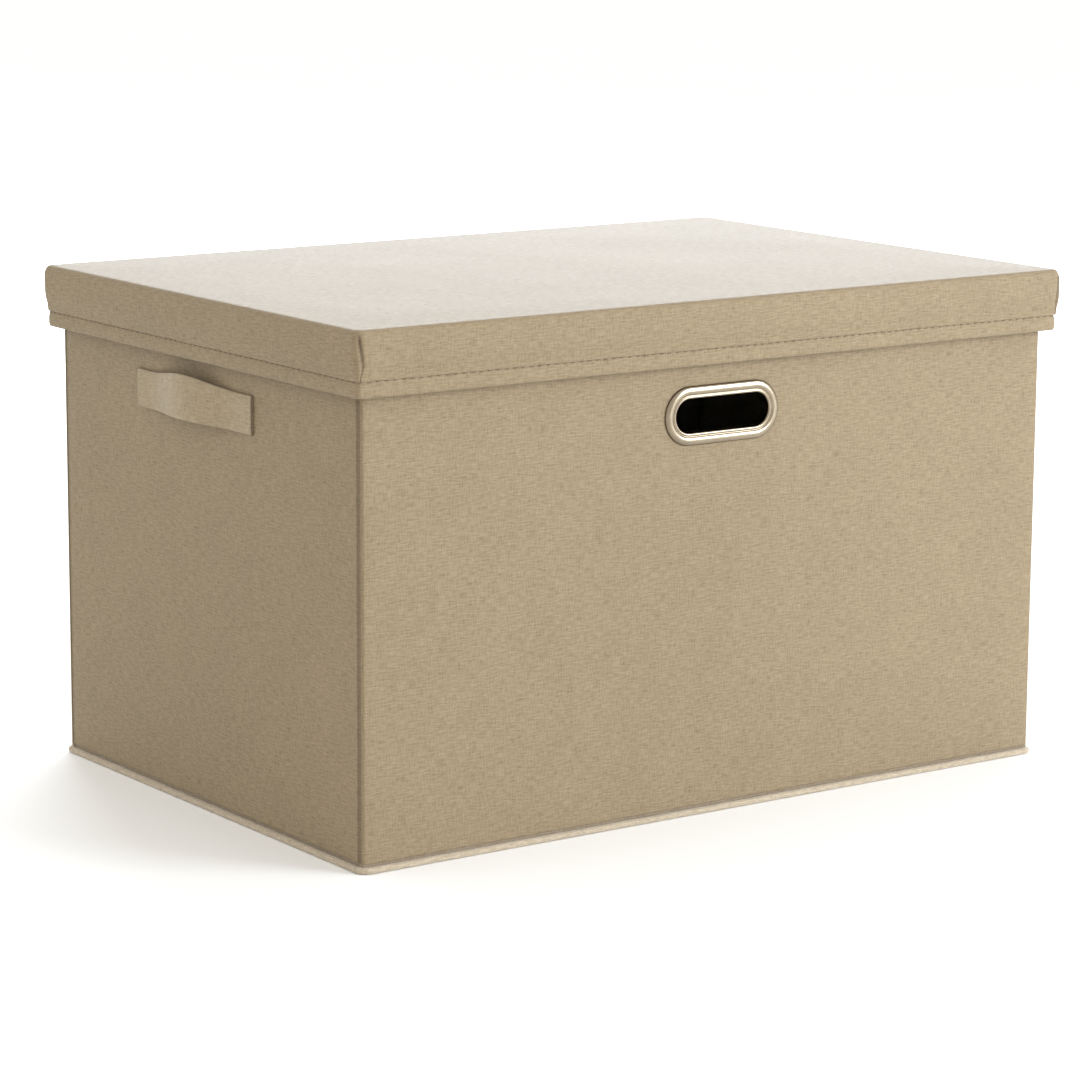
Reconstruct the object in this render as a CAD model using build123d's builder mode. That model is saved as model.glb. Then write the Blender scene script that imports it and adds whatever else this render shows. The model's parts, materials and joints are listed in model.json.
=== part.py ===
"""Folding fabric storage bin with a lift-off lid.

The bin is a sewn box of linen-look cloth. Greyboard panels stand inside the cloth of every wall and
cotton lining closes them on the inside. The two short walls are split by an upright crease, so that the
empty bin folds flat once the loose base insert is out. One metal grommet makes a hand hole in the front
wall, and a cloth strap is sewn on each short wall. The lid is a stiff tray of the same cloth.

Frame: millimetres, origin under the centre of the bin on the floor, X along the long walls,
-Y out of the front wall, Z up.
"""

import os

from build123d import *

# ---------------------------------------------------------------- bin body
body_length = 490.0  # over the cloth of the two short walls
body_depth = 336.0  # over the cloth of the two long walls
rim_height = 298.0  # floor to the rim of the walls

cover_thickness = 0.8  # outer cloth
board_thickness = 2.5  # greyboard in the walls
lining_thickness = 0.8  # inner cloth
rim_turn = 16.0  # how far the outer cloth turns down inside the rim

# ---------------------------------------------------------------- base
base_cloth_thickness = 0.8
base_lining_thickness = 0.6
base_cloth_gap = 0.3  # between the base cloth's edge and the welt around it

insert_board_thickness = 2.5
insert_cloth_thickness = 0.5
insert_clearance = 2.0  # round the loose insert
fold_clearance = 0.5  # the wall panels pass this far above the insert

welt_reach = 3.6  # how far the bottom welt stands out from the walls
welt_height = 4.0
welt_corner = 7.0  # plan radius of the welt's corners
welt_edge = 1.2  # rounding of the welt's outer lip
welt_gap = 0.3  # between a long wall's welt and the short welts beside it

# ---------------------------------------------------------------- folding
corner_clearance = 0.25  # from the corner's mitre line to the end of each wall, along the wall
corner_wrap = 1.2  # cloth past the board's mitred end, along the wall
crease_clearance = 0.3  # from the crease line to each half of a short wall

# ---------------------------------------------------------------- hand hole grommet
hole_length = 67.0  # the clear opening
hole_height = 19.6
hole_drop = 62.0  # from the rim down to the middle of the hole
barrel_wall = 1.0
barrel_clearance = 0.3  # between the barrel and the cut edge of the wall
flange_width = 6.4  # beyond the barrel
flange_thickness = 2.2
flange_edge = 1.0  # rounding of the flange
washer_width = 5.0
washer_thickness = 1.0
swage_width = 1.6  # the barrel's end rolled over the washer
swage_thickness = 0.6

# ---------------------------------------------------------------- strap handles
strap_length = 130.0  # between the ends sewn to the wall
strap_width = 22.5
strap_thickness = 2.4
strap_sewn_length = 16.0  # flat part at each end
strap_bulge = 10.5  # outer face at the strap's middle, from the wall
strap_setback = 9.5  # middle of the strap behind the crease
strap_drop = 57.5  # from the rim down to the middle of the strap

# ---------------------------------------------------------------- lid
lid_rest_clearance = 0.5  # over the rim
lid_side_clearance = 5.0  # between the lid's inside and the walls
lid_cloth_thickness = 0.8
lid_board_thickness = 2.5
lid_skirt_board_thickness = 2.2
lid_lining_thickness = 0.8
lid_height = 37.0  # top face to the lower edge of the hem
lid_hem_height = 11.0
lid_hem_thickness = 2.0
lid_edge = 3.0  # rounding along the edges of the lid's top
lid_corner = 6.0  # plan radius of the skirt's corners
lid_hem_corner = 2.0  # plan radius of the hem's corners
lid_foot_height = 7.5  # the skirt slants out over this height above the hem

# ---------------------------------------------------------------- worked out
half_length = body_length / 2
half_depth = body_depth / 2
wall_thickness = cover_thickness + board_thickness + lining_thickness
inner_half_length = half_length - wall_thickness
inner_half_depth = half_depth - wall_thickness

hole_centre_height = rim_height - hole_drop
strap_centre_height = rim_height - strap_drop

insert_bottom = base_cloth_thickness + base_lining_thickness
insert_board_bottom = insert_bottom + insert_cloth_thickness
insert_board_top = insert_board_bottom + insert_board_thickness
insert_top = insert_board_top + insert_cloth_thickness
panel_bottom = insert_top + fold_clearance
board_top = rim_height - cover_thickness
lining_top = rim_height - rim_turn

lid_underside = rim_height + lid_rest_clearance
lid_board_bottom = lid_underside + lid_lining_thickness
lid_board_top = lid_board_bottom + lid_board_thickness
lid_top = lid_board_top + lid_cloth_thickness
hem_bottom = lid_top - lid_height
hem_top = hem_bottom + lid_hem_height
skirt_foot_top = hem_top + lid_foot_height
skirt_thickness = lid_cloth_thickness + lid_skirt_board_thickness + lid_lining_thickness
skirt_tuck = skirt_thickness - lid_hem_thickness
lid_inner_half_length = half_length + lid_side_clearance
lid_inner_half_depth = half_depth + lid_side_clearance
lid_half_length = lid_inner_half_length + skirt_thickness
lid_half_depth = lid_inner_half_depth + skirt_thickness

long_wall_reach = half_length - corner_clearance
short_wall_reach = half_depth - corner_clearance
short_welt_reach = inner_half_depth - welt_gap


# Each wall has an upright plane of its own: local x runs along the wall, local y goes inwards
# from the outer face, and local z is up.
front_plane = Plane(origin=(0, -half_depth, 0), x_dir=(1, 0, 0), z_dir=(0, 0, 1))
back_plane = Plane(origin=(0, half_depth, 0), x_dir=(-1, 0, 0), z_dir=(0, 0, 1))
left_plane = Plane(origin=(-half_length, 0, 0), x_dir=(0, -1, 0), z_dir=(0, 0, 1))
right_plane = Plane(origin=(half_length, 0, 0), x_dir=(0, 1, 0), z_dir=(0, 0, 1))


def save(part, label):
    """Names a finished piece and writes its STEP file."""
    part.label = label
    export_step(part, f"parts/{label}.step")


def block(plane, along, inward, up, mode=Mode.ADD, mitres=(0, 0)):
    """One block in the part being built, from its ranges along, into and up the wall.

    along is the range at the block's outer face. A mitre of 1 at an end cuts it at 45 degrees, so that
    the inner face is shorter there, and 0 leaves it square.
    """
    thickness = inward[1] - inward[0]
    inner = (along[0] + mitres[0] * thickness, along[1] - mitres[1] * thickness)
    with BuildSketch(plane.offset(up[0])) as footprint:
        with BuildLine():
            Polyline(
                (along[0], inward[0]),
                (along[1], inward[0]),
                (inner[1], inward[1]),
                (inner[0], inward[1]),
                close=True,
            )
        make_face()
    extrude(footprint.sketch, amount=up[1] - up[0], mode=mode)


def slab(label, plane, along, inward, up):
    """A flat sheet of its own."""
    with BuildPart() as sheet:
        block(plane, along, inward, up)
    save(sheet.part, label)


def span(reach):
    """The range that goes this far each way from the middle."""
    return (-reach, reach)


# ---------------------------------------------------------------- wall panels
def slot_plane(inward):
    """The upright plane of the hand hole, this far in from the front wall's outer face."""
    return Plane(origin=(0, -half_depth + inward, hole_centre_height), x_dir=(1, 0, 0), z_dir=(0, -1, 0))


def cut_hand_hole():
    """Cuts the slot that the grommet's barrel passes through."""
    margin = 2 * (barrel_wall + barrel_clearance)
    with BuildSketch(slot_plane(0)) as slot:
        SlotOverall(hole_length + margin, hole_height + margin)
    extrude(slot.sketch, amount=2 * wall_thickness, both=True, mode=Mode.SUBTRACT)


def inset(along, mitres, depth, wrap):
    """The range that a layer this deep inside a wall covers, within the cloth round the wall's ends."""
    ends = [cover_thickness + mitre * (depth - cover_thickness + wrap) for mitre in mitres]
    return (along[0] + ends[0], along[1] - ends[1])


def wall_panel(name, plane, along, mitres, has_hole=False):
    """The three layers of a stiff wall.

    The outer cloth turns round both ends of the board and over the rim, and comes down inside as far
    as the top of the lining.
    """
    board_in = (cover_thickness, cover_thickness + board_thickness)
    board_along = inset(along, mitres, board_in[0], corner_wrap)
    board_up = (panel_bottom, board_top)
    lining_in = (board_in[1], wall_thickness)
    lining_along = inset(along, mitres, wall_thickness, corner_wrap)
    lining_up = (panel_bottom, lining_top)
    with BuildPart() as cover:
        block(plane, along, (0, wall_thickness), (panel_bottom, rim_height), mitres=mitres)
        block(plane, board_along, board_in, board_up, mode=Mode.SUBTRACT, mitres=mitres)
        block(plane, lining_along, lining_in, lining_up, mode=Mode.SUBTRACT)
        if has_hole:
            cut_hand_hole()
    save(cover.part, f"{name}_cover")
    with BuildPart() as board:
        block(plane, board_along, board_in, board_up, mitres=mitres)
        if has_hole:
            cut_hand_hole()
    save(board.part, f"{name}_board")
    with BuildPart() as lining:
        block(plane, lining_along, lining_in, lining_up)
        if has_hole:
            cut_hand_hole()
    save(lining.part, f"{name}_lining")


def round_lip(plane):
    """Rounds the upper outer edge of the welt being built."""
    along_wall = Axis((0, 0, 0), plane.x_dir)
    into_wall = Axis((0, 0, 0), plane.y_dir)
    outermost = edges().filter_by(along_wall).group_by(into_wall)[0]
    fillet(outermost.sort_by(Axis.Z)[-1], welt_edge)


def long_welt(label, plane):
    """Bottom seam binding of a long wall. Its lip goes round both corners of the bin."""
    with BuildPart() as welt:
        block(plane, span(half_length), (0, wall_thickness), (0, panel_bottom))
        with BuildSketch(plane):
            with Locations((0, (wall_thickness - welt_reach) / 2)):
                Rectangle(body_length + 2 * welt_reach, wall_thickness + welt_reach)
            fillet(vertices().group_by(Axis.Y)[0], welt_corner)
        extrude(amount=welt_height)
        round_lip(plane)
    save(welt.part, label)


def short_welt(label, plane, along):
    """Bottom seam binding of half a short wall."""
    with BuildPart() as welt:
        block(plane, along, (0, wall_thickness), (0, panel_bottom))
        block(plane, along, (-welt_reach, wall_thickness), (0, welt_height))
        round_lip(plane)
    save(welt.part, label)


# ---------------------------------------------------------------- base
def base_sheets():
    """The sewn bottom of the bin: outer cloth and lining."""
    along = span(inner_half_length - base_cloth_gap)
    across = span(inner_half_depth - base_cloth_gap)
    slab("base_cloth", Plane.XY, along, across, (0, base_cloth_thickness))
    slab("base_lining", Plane.XY, along, across, (base_cloth_thickness, insert_bottom))


def base_insert():
    """The loose stiff floor: a board with cloth over its top and edges and a backing underneath."""
    along = span(inner_half_length - insert_clearance)
    across = span(inner_half_depth - insert_clearance)
    board_along = span(along[1] - insert_cloth_thickness)
    board_across = span(across[1] - insert_cloth_thickness)
    board_up = (insert_board_bottom, insert_board_top)
    slab("insert_backing", Plane.XY, along, across, (insert_bottom, insert_board_bottom))
    slab("insert_board", Plane.XY, board_along, board_across, board_up)
    with BuildPart() as cover:
        block(Plane.XY, along, across, (insert_board_bottom, insert_top))
        block(Plane.XY, board_along, board_across, board_up, mode=Mode.SUBTRACT)
    save(cover.part, "insert_cover")


# ---------------------------------------------------------------- grommet
def grommet_ring():
    """Flange and barrel in one pressing. The barrel's end is rolled over the washer inside."""
    barrel_length = hole_length + 2 * barrel_wall
    barrel_height = hole_height + 2 * barrel_wall
    swage_start = wall_thickness + washer_thickness
    barrel_reach = swage_start + swage_thickness
    with BuildPart() as ring:
        with BuildSketch(slot_plane(0)):
            SlotOverall(barrel_length + 2 * flange_width, barrel_height + 2 * flange_width)
        extrude(amount=flange_thickness)
        fillet(faces().sort_by(Axis.Y)[0].edges(), min(flange_edge, flange_thickness / 2))
        with BuildSketch(slot_plane(0)):
            SlotOverall(barrel_length, barrel_height)
        extrude(amount=-barrel_reach)
        with BuildSketch(slot_plane(swage_start)):
            SlotOverall(barrel_length + 2 * swage_width, barrel_height + 2 * swage_width)
        extrude(amount=-swage_thickness)
        with BuildSketch(slot_plane(0)):
            SlotOverall(hole_length, hole_height)
        extrude(amount=barrel_reach + flange_thickness, both=True, mode=Mode.SUBTRACT)
        mouth = faces().sort_by(Axis.Y)[0].inner_wires()[0]
        fillet(mouth.edges(), min(flange_edge, flange_thickness / 2))
    save(ring.part, "grommet_ring")


def grommet_washer():
    """The plate behind the wall that the barrel is rolled over."""
    bore_length = hole_length + 2 * (barrel_wall + barrel_clearance)
    bore_height = hole_height + 2 * (barrel_wall + barrel_clearance)
    with BuildPart() as washer:
        with BuildSketch(slot_plane(wall_thickness)):
            SlotOverall(bore_length + 2 * washer_width, bore_height + 2 * washer_width)
            SlotOverall(bore_length, bore_height, mode=Mode.SUBTRACT)
        extrude(amount=-washer_thickness)
    save(washer.part, "grommet_washer")


# ---------------------------------------------------------------- strap handles
def strap(label, plane, middle):
    """A cloth strap round this place along a wall, sewn flat at both ends and standing off between them."""
    end = strap_length / 2
    free = end - strap_sewn_length
    face = -strap_thickness
    foot = plane.offset(strap_centre_height - strap_width / 2)
    foot.origin += plane.x_dir * middle
    with BuildPart() as handle:
        with BuildSketch(foot):
            with BuildLine():
                Polyline((-free, 0), (-end, 0), (-end, face), (-free, face))
                Spline((-free, face), (0, -strap_bulge), (free, face), tangents=[(1, 0), (1, 0)])
                Polyline((free, face), (end, face), (end, 0), (free, 0))
                Spline((free, 0), (0, strap_thickness - strap_bulge), (-free, 0), tangents=[(-1, 0), (-1, 0)])
            make_face()
        extrude(amount=strap_width)
    save(handle.part, label)


# ---------------------------------------------------------------- lid
def lid_solid(inside):
    """The lid down to its hem as one full solid, from this far inside its outer face.

    The skirt stands upright below the top and slants in to the hem at its foot.
    """
    along, across = lid_half_length - inside, lid_half_depth - inside
    with BuildPart() as solid:
        with BuildSketch(Plane.XY.offset(skirt_foot_top)):
            RectangleRounded(2 * along, 2 * across, lid_corner - inside)
        extrude(amount=lid_top - inside - skirt_foot_top)
        fillet(faces().sort_by(Axis.Z)[-1].edges(), lid_edge - inside)
        with BuildSketch(Plane.XY.offset(hem_top)):
            RectangleRounded(2 * (along - skirt_tuck), 2 * (across - skirt_tuck), lid_hem_corner - inside)
        with BuildSketch(Plane.XY.offset(skirt_foot_top)):
            RectangleRounded(2 * along, 2 * across, lid_corner - inside)
        loft(ruled=True)
    return solid.part


def lid_cloths():
    """The lid's outer cloth over its top and skirt, and the lining inside it. Both open downwards."""
    with BuildPart() as cover:
        add(lid_solid(0))
        add(lid_solid(lid_cloth_thickness), mode=Mode.SUBTRACT)
    save(cover.part, "lid_cover")
    inner = span(lid_inner_half_length), span(lid_inner_half_depth)
    around = span(inner[0][1] + lid_lining_thickness), span(inner[1][1] + lid_lining_thickness)
    with BuildPart() as lining:
        block(Plane.XY, *around, (hem_top, lid_board_bottom))
        block(Plane.XY, *inner, (hem_top, lid_underside), mode=Mode.SUBTRACT)
    save(lining.part, "lid_lining")


def lid_board(label, along, across, up):
    """A board of the lid, cut to these ranges and shaped to the inside of the cloth."""
    with BuildPart() as board:
        add(lid_solid(lid_cloth_thickness))
        block(Plane.XY, along, across, up, mode=Mode.INTERSECT)
    save(board.part, label)


def lid_boards():
    """The board of the lid's top and the four boards of its skirt."""
    reach_x = lid_half_length
    reach_y = lid_half_depth
    lid_board("lid_top_board", span(reach_x), span(reach_y), (lid_board_bottom, lid_board_top))
    inner_x = lid_inner_half_length + lid_lining_thickness
    inner_y = lid_inner_half_depth + lid_lining_thickness
    skirt_up = (hem_top, lid_board_bottom)
    lid_board("lid_front_skirt_board", span(reach_x), (-reach_y, -inner_y), skirt_up)
    lid_board("lid_back_skirt_board", span(reach_x), (inner_y, reach_y), skirt_up)
    lid_board("lid_left_skirt_board", (-reach_x, -inner_x), span(inner_y), skirt_up)
    lid_board("lid_right_skirt_board", (inner_x, reach_x), span(inner_y), skirt_up)


def lid_hem():
    """The stitched band round the lower edge of the skirt."""
    with BuildPart() as hem:
        with BuildSketch(Plane.XY.offset(hem_bottom)):
            Rectangle(
                2 * (lid_inner_half_length + lid_hem_thickness),
                2 * (lid_inner_half_depth + lid_hem_thickness),
            )
            fillet(vertices(), lid_hem_corner)
            Rectangle(2 * lid_inner_half_length, 2 * lid_inner_half_depth, mode=Mode.SUBTRACT)
        extrude(amount=lid_hem_height)
    save(hem.part, "lid_hem")


os.makedirs("parts", exist_ok=True)

wall_panel("front", front_plane, span(long_wall_reach), (1, 1), has_hole=True)
wall_panel("back", back_plane, span(long_wall_reach), (1, 1))
long_welt("front_welt", front_plane)
long_welt("back_welt", back_plane)

# Local x of the left wall runs forwards, and that of the right wall runs backwards. Each half wall is
# mitred where it meets a long wall and square at the crease.
half_walls = {
    "left_rear": (left_plane, -1),
    "left_front": (left_plane, 1),
    "right_front": (right_plane, -1),
    "right_rear": (right_plane, 1),
}
for half_wall, (wall_plane, way) in half_walls.items():
    wall_ends = sorted((way * crease_clearance, way * short_wall_reach))
    welt_ends = sorted((way * crease_clearance, way * short_welt_reach))
    wall_panel(half_wall, wall_plane, wall_ends, (0, 1) if way > 0 else (1, 0))
    short_welt(f"{half_wall}_welt", wall_plane, welt_ends)

base_sheets()
base_insert()
grommet_ring()
grommet_washer()
strap("left_strap", left_plane, -strap_setback)
strap("right_strap", right_plane, strap_setback)
lid_cloths()
lid_boards()
lid_hem()
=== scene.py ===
"""Looks of a folding fabric storage bin with a lift-off lid.

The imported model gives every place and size. Sewn cloth, piping, straps, stitching, the metal hand hole
and the lid are built round it here, in metres, in the model's own frame: X along the long walls, -Y out
of the front wall, Z up.
"""

import json
import logging
import math
from collections.abc import Callable, Sequence
from dataclasses import dataclass, field
from enum import Enum

import bmesh
import bpy
import numpy as np
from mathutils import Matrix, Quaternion, Vector, noise


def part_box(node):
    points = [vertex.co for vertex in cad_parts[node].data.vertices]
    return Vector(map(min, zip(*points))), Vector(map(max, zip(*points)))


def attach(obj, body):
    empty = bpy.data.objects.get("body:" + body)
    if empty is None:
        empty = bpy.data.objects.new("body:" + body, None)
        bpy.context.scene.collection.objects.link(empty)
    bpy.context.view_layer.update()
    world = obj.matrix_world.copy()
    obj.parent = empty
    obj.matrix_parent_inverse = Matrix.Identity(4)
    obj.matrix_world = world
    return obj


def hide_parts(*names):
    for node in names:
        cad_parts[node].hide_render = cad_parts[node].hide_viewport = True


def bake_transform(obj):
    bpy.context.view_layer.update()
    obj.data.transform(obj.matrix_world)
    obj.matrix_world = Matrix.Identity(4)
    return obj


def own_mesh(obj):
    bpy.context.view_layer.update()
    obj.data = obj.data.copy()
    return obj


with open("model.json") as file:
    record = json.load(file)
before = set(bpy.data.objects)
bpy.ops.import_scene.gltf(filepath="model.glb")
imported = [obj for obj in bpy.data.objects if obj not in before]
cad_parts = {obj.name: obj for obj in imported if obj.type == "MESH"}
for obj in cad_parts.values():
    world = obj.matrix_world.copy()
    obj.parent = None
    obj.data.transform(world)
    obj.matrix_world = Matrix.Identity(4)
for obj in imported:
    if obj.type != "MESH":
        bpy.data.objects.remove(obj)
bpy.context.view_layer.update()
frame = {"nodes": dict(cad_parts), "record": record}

LOG = logging.getLogger("fabric_bin")
Colour = tuple[float, float, float]
Pair = tuple[float, float]
Triple = tuple[float, float, float]
MM = 0.001
UP = Vector((0.0, 0.0, 1.0))
WEAVE_MAP = "weave"
WEAVE_SHIFT = 0.37  # moves the weave between faces that look different ways
# painted shade: a point attribute that darkens seam grooves, slits, gaps and the grommet's foot, where shade
# falls
SEAM_SHADE_ATTRIBUTE = "seam"


class Slot(Enum):
    """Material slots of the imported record."""

    LINEN = "linen"
    LINING = "lining"
    GREYBOARD = "greyboard"
    THREAD = "thread"
    NICKEL = "nickel"


class Body(Enum):
    """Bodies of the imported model."""

    BACK = "back_wall"
    LEFT_REAR = "left_rear_wall"
    LEFT_FRONT = "left_front_wall"
    FRONT = "front_wall"
    RIGHT_REAR = "right_rear_wall"
    RIGHT_FRONT = "right_front_wall"
    LID = "lid"

    @property
    def stem(self) -> str:
        """The start of the names of this body's own nodes."""
        return self.value.removesuffix("_wall")

    @property
    def part(self) -> str:
        """Which half of a short wall this is, rear or front."""
        return self.stem.split("_")[-1]


# ---------------------------------------------------------------- finishes
class NodeMaker:
    """Adds nodes to a material's tree in a few words."""

    def __init__(self, name: str) -> None:
        """Makes an empty material of this name."""
        self.material = bpy.data.materials.new(name)
        self.material.use_nodes = True
        self.tree = self.material.node_tree
        self.tree.nodes.clear()

    def add(self, kind: str, inputs: dict | None = None, **settings: object) -> bpy.types.Node:
        """Adds one node.

        Args:
            kind: Blender's name of the node type.
            inputs: values or output sockets for its inputs, by name or index.
            settings: properties of the node itself.

        Returns:
            The new node.
        """
        node = self.tree.nodes.new(kind)
        for key, value in settings.items():
            setattr(node, key, value)
        for key, value in (inputs or {}).items():
            socket = node.inputs[key]
            if isinstance(value, bpy.types.NodeSocket):
                self.tree.links.new(value, socket)
            else:
                socket.default_value = value
        return node

    def maths(self, operation: str, first: object, second: object = 0.0) -> bpy.types.NodeSocket:
        """One arithmetic step, as its result."""
        return self.add("ShaderNodeMath", {0: first, 1: second}, operation=operation).outputs[0]

    def mix(self, share: object, first: object, second: object, blend: str = "MIX") -> bpy.types.NodeSocket:
        """Mixes two colours, as the result."""
        node = self.add("ShaderNodeMix", data_type="RGBA", blend_type=blend, clamp_result=True)
        for index, value in ((0, share), (6, first), (7, second)):
            if isinstance(value, bpy.types.NodeSocket):
                self.tree.links.new(value, node.inputs[index])
            else:
                node.inputs[index].default_value = value
        return node.outputs[2]

    def noise(self, vector: bpy.types.NodeSocket, scale: float, detail: float = 2.0) -> bpy.types.NodeSocket:
        """A noise pattern, from 0 to 1."""
        values = {"Vector": vector, "Scale": scale, "Detail": detail, "Roughness": 0.55}
        return self.add("ShaderNodeTexNoise", values).outputs["Fac"]

    def spread(self, value: bpy.types.NodeSocket, low: float, high: float) -> bpy.types.NodeSocket:
        """Stretches the range from low to high onto 0 to 1, with soft ends."""
        values = {"Value": value, "From Min": low, "From Max": high}
        return self.add("ShaderNodeMapRange", values, interpolation_type="SMOOTHSTEP").outputs[0]

    def scaled(self, vector: bpy.types.NodeSocket, scale: Sequence[float]) -> bpy.types.NodeSocket:
        """A vector stretched along its axes."""
        values = {"Vector": vector, "Scale": tuple(scale)}
        return self.add("ShaderNodeMapping", values).outputs[0]

    def weighed(self, *parts: tuple[bpy.types.NodeSocket, float]) -> bpy.types.NodeSocket:
        """The sum of some values, each times its weight."""
        total, *others = [self.maths("MULTIPLY", value, weight) for value, weight in parts]
        for other in others:
            total = self.maths("ADD", total, other)
        return total

    def place(self) -> bpy.types.NodeSocket:
        """The position on the object, in metres."""
        return self.add("ShaderNodeTexCoord").outputs["Object"]

    def seam(self) -> bpy.types.NodeSocket:
        """How much painted seam shade a point gets, from 0 to 1."""
        return self.add("ShaderNodeAttribute", attribute_name=SEAM_SHADE_ATTRIBUTE).outputs["Fac"]

    def bump(self, height: bpy.types.NodeSocket, strength: float, distance: float) -> bpy.types.NodeSocket:
        """Normals tilted by a height pattern."""
        values = {"Height": height, "Strength": strength, "Distance": distance}
        return self.add("ShaderNodeBump", values).outputs[0]

    def finish(self, values: dict) -> bpy.types.Material:
        """Ends the tree in a principled shader with these inputs."""
        shader = self.add("ShaderNodeBsdfPrincipled", values)
        self.add("ShaderNodeOutputMaterial", {"Surface": shader.outputs[0]})
        return self.material


def rgba(colour: Colour, factor: float = 1.0) -> tuple[float, float, float, float]:
    """A colour times a factor, with full cover."""
    return (*(factor * part for part in colour), 1.0)


@dataclass(frozen=True)
class ClothFinish:
    """Plain-woven cloth with slubs in both directions. The pattern follows the piece's weave map.

    The scales are in patterns for each metre across and up. The shares say how much each pattern counts.
    """

    name: str
    dark: Colour
    light: Colour
    # painted shade colour for seam grooves, slits and gaps
    seam: Colour
    slub_contrast: float = 0.8
    bump: float = 0.4
    bump_height: float = 0.35 * MM
    sheen: float = 0.12
    roughness: float = 0.8
    weft_scale: Triple = (150, 1080, 1)
    warp_scale: Triple = (1080, 170, 1)
    grain_scale: Triple = (900, 900, 1)
    thread_range: Pair = (0.34, 0.66)
    weft_share: float = 0.5
    warp_share: float = 0.32
    grain_share: float = 0.18
    cloud_scale: float = 34.0
    cloud_share: float = 0.16
    broad_scale: float = 7.0
    broad_share: float = 0.12
    lowest_tone: float = 0.86

    def material(self) -> bpy.types.Material:
        """Builds the material.

        Returns:
            The finished material.
        """
        n = NodeMaker(self.name)
        weave = n.add("ShaderNodeUVMap", uv_map=WEAVE_MAP).outputs[0]
        weft = n.noise(n.scaled(weave, self.weft_scale), 1.0, 3.0)
        warp = n.noise(n.scaled(weave, self.warp_scale), 1.0, 3.0)
        grain = n.noise(n.scaled(weave, self.grain_scale), 1.0, 2.0)
        threads = n.weighed(
            (n.spread(weft, *self.thread_range), self.weft_share),
            (n.spread(warp, *self.thread_range), self.warp_share),
            (grain, self.grain_share),
        )
        contrast = n.maths("MULTIPLY", n.maths("SUBTRACT", threads, 0.5), self.slub_contrast)
        cloth = n.mix(n.maths("ADD", contrast, 0.5), rgba(self.dark), rgba(self.light))
        specks = n.maths("MULTIPLY", n.spread(n.maths("MULTIPLY", weft, warp), 0.17, 0.1), 0.5)
        cloth = n.mix(specks, cloth, rgba(self.dark, 0.62))
        clouds = n.noise(weave, self.cloud_scale, 3.0)
        broad = n.noise(weave, self.broad_scale, 2.0)
        tone = n.weighed((clouds, self.cloud_share), (broad, self.broad_share))
        tone = n.maths("ADD", tone, self.lowest_tone)
        shade = n.add("ShaderNodeCombineColor", {0: tone, 1: tone, 2: tone}).outputs[0]
        cloth = n.mix(1.0, cloth, shade, "MULTIPLY")
        height = n.maths("ADD", threads, n.maths("MULTIPLY", grain, 0.4))
        # base colour: the cloth, with painted shade where the seam attribute says
        values = {
            "Base Color": n.mix(n.seam(), cloth, rgba(self.seam)),
            "Roughness": n.maths("ADD", n.maths("MULTIPLY", threads, -0.12), self.roughness),
            "Normal": n.bump(height, self.bump, self.bump_height),
            "Sheen Weight": self.sheen,
            "Sheen Roughness": 0.5,
            "Specular IOR Level": 0.35,
        }
        return n.finish(values)


@dataclass(frozen=True)
class ThreadFinish:
    """Twisted sewing thread."""

    name: str
    colour: Colour
    fibre_scale: float = 2400.0
    patch_scale: float = 60.0

    def material(self) -> bpy.types.Material:
        """Builds the material.

        Returns:
            The finished material.
        """
        n = NodeMaker(self.name)
        place = n.place()
        fibres = n.noise(place, self.fibre_scale, 2.0)
        patches = n.noise(place, self.patch_scale, 1.0)
        tone = n.weighed((fibres, 0.5), (patches, 0.5))
        values = {
            "Base Color": n.mix(tone, rgba(self.colour, 0.7), rgba(self.colour, 1.35)),
            "Roughness": 0.7,
            "Normal": n.bump(fibres, 0.6, 0.15 * MM),
        }
        return n.finish(values)


@dataclass(frozen=True)
class MetalFinish:
    """Plated metal with faint wiping marks, a little tarnish and painted shade where the seam attribute says.
    """

    name: str
    colour: Colour
    grime: Colour
    roughness: float
    wipe_scale: Triple = (90, 900, 900)
    tarnish_scale: float = 120.0

    def material(self) -> bpy.types.Material:
        """Builds the material.

        Returns:
            The finished material.
        """
        n = NodeMaker(self.name)
        place = n.place()
        wiped = n.noise(n.scaled(place, self.wipe_scale), 1.0, 3.0)
        dull = n.noise(place, self.tarnish_scale, 3.0)
        metal = n.mix(n.spread(dull, 0.45, 0.75), rgba(self.colour), rgba(self.colour, 0.86))
        # painted shade at the ring's foot, from the seam attribute
        values = {
            "Base Color": n.mix(n.seam(), metal, rgba(self.grime)),
            "Metallic": 1.0,
            "Roughness": n.maths("ADD", n.weighed((wiped, 0.12), (dull, 0.14)), self.roughness - 0.13),
            "Normal": n.bump(wiped, 0.08, 0.1 * MM),
        }
        return n.finish(values)


@dataclass(frozen=True)
class BoardFinish:
    """Pressed grey paper board with flecks."""

    name: str
    colour: Colour
    fleck: Colour = (0.2, 0.17, 0.14)
    fibre_scale: float = 700.0
    fleck_scale: float = 380.0

    def material(self) -> bpy.types.Material:
        """Builds the material.

        Returns:
            The finished material.
        """
        n = NodeMaker(self.name)
        place = n.place()
        fibres = n.noise(place, self.fibre_scale, 4.0)
        flecks = n.spread(n.noise(place, self.fleck_scale, 2.0), 0.62, 0.7)
        tone = n.mix(fibres, rgba(self.colour, 0.8), rgba(self.colour, 1.15))
        values = {
            "Base Color": n.mix(n.maths("MULTIPLY", flecks, 0.5), tone, rgba(self.fleck)),
            "Roughness": 0.9,
            "Normal": n.bump(fibres, 0.3, 0.2 * MM),
        }
        return n.finish(values)


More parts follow.
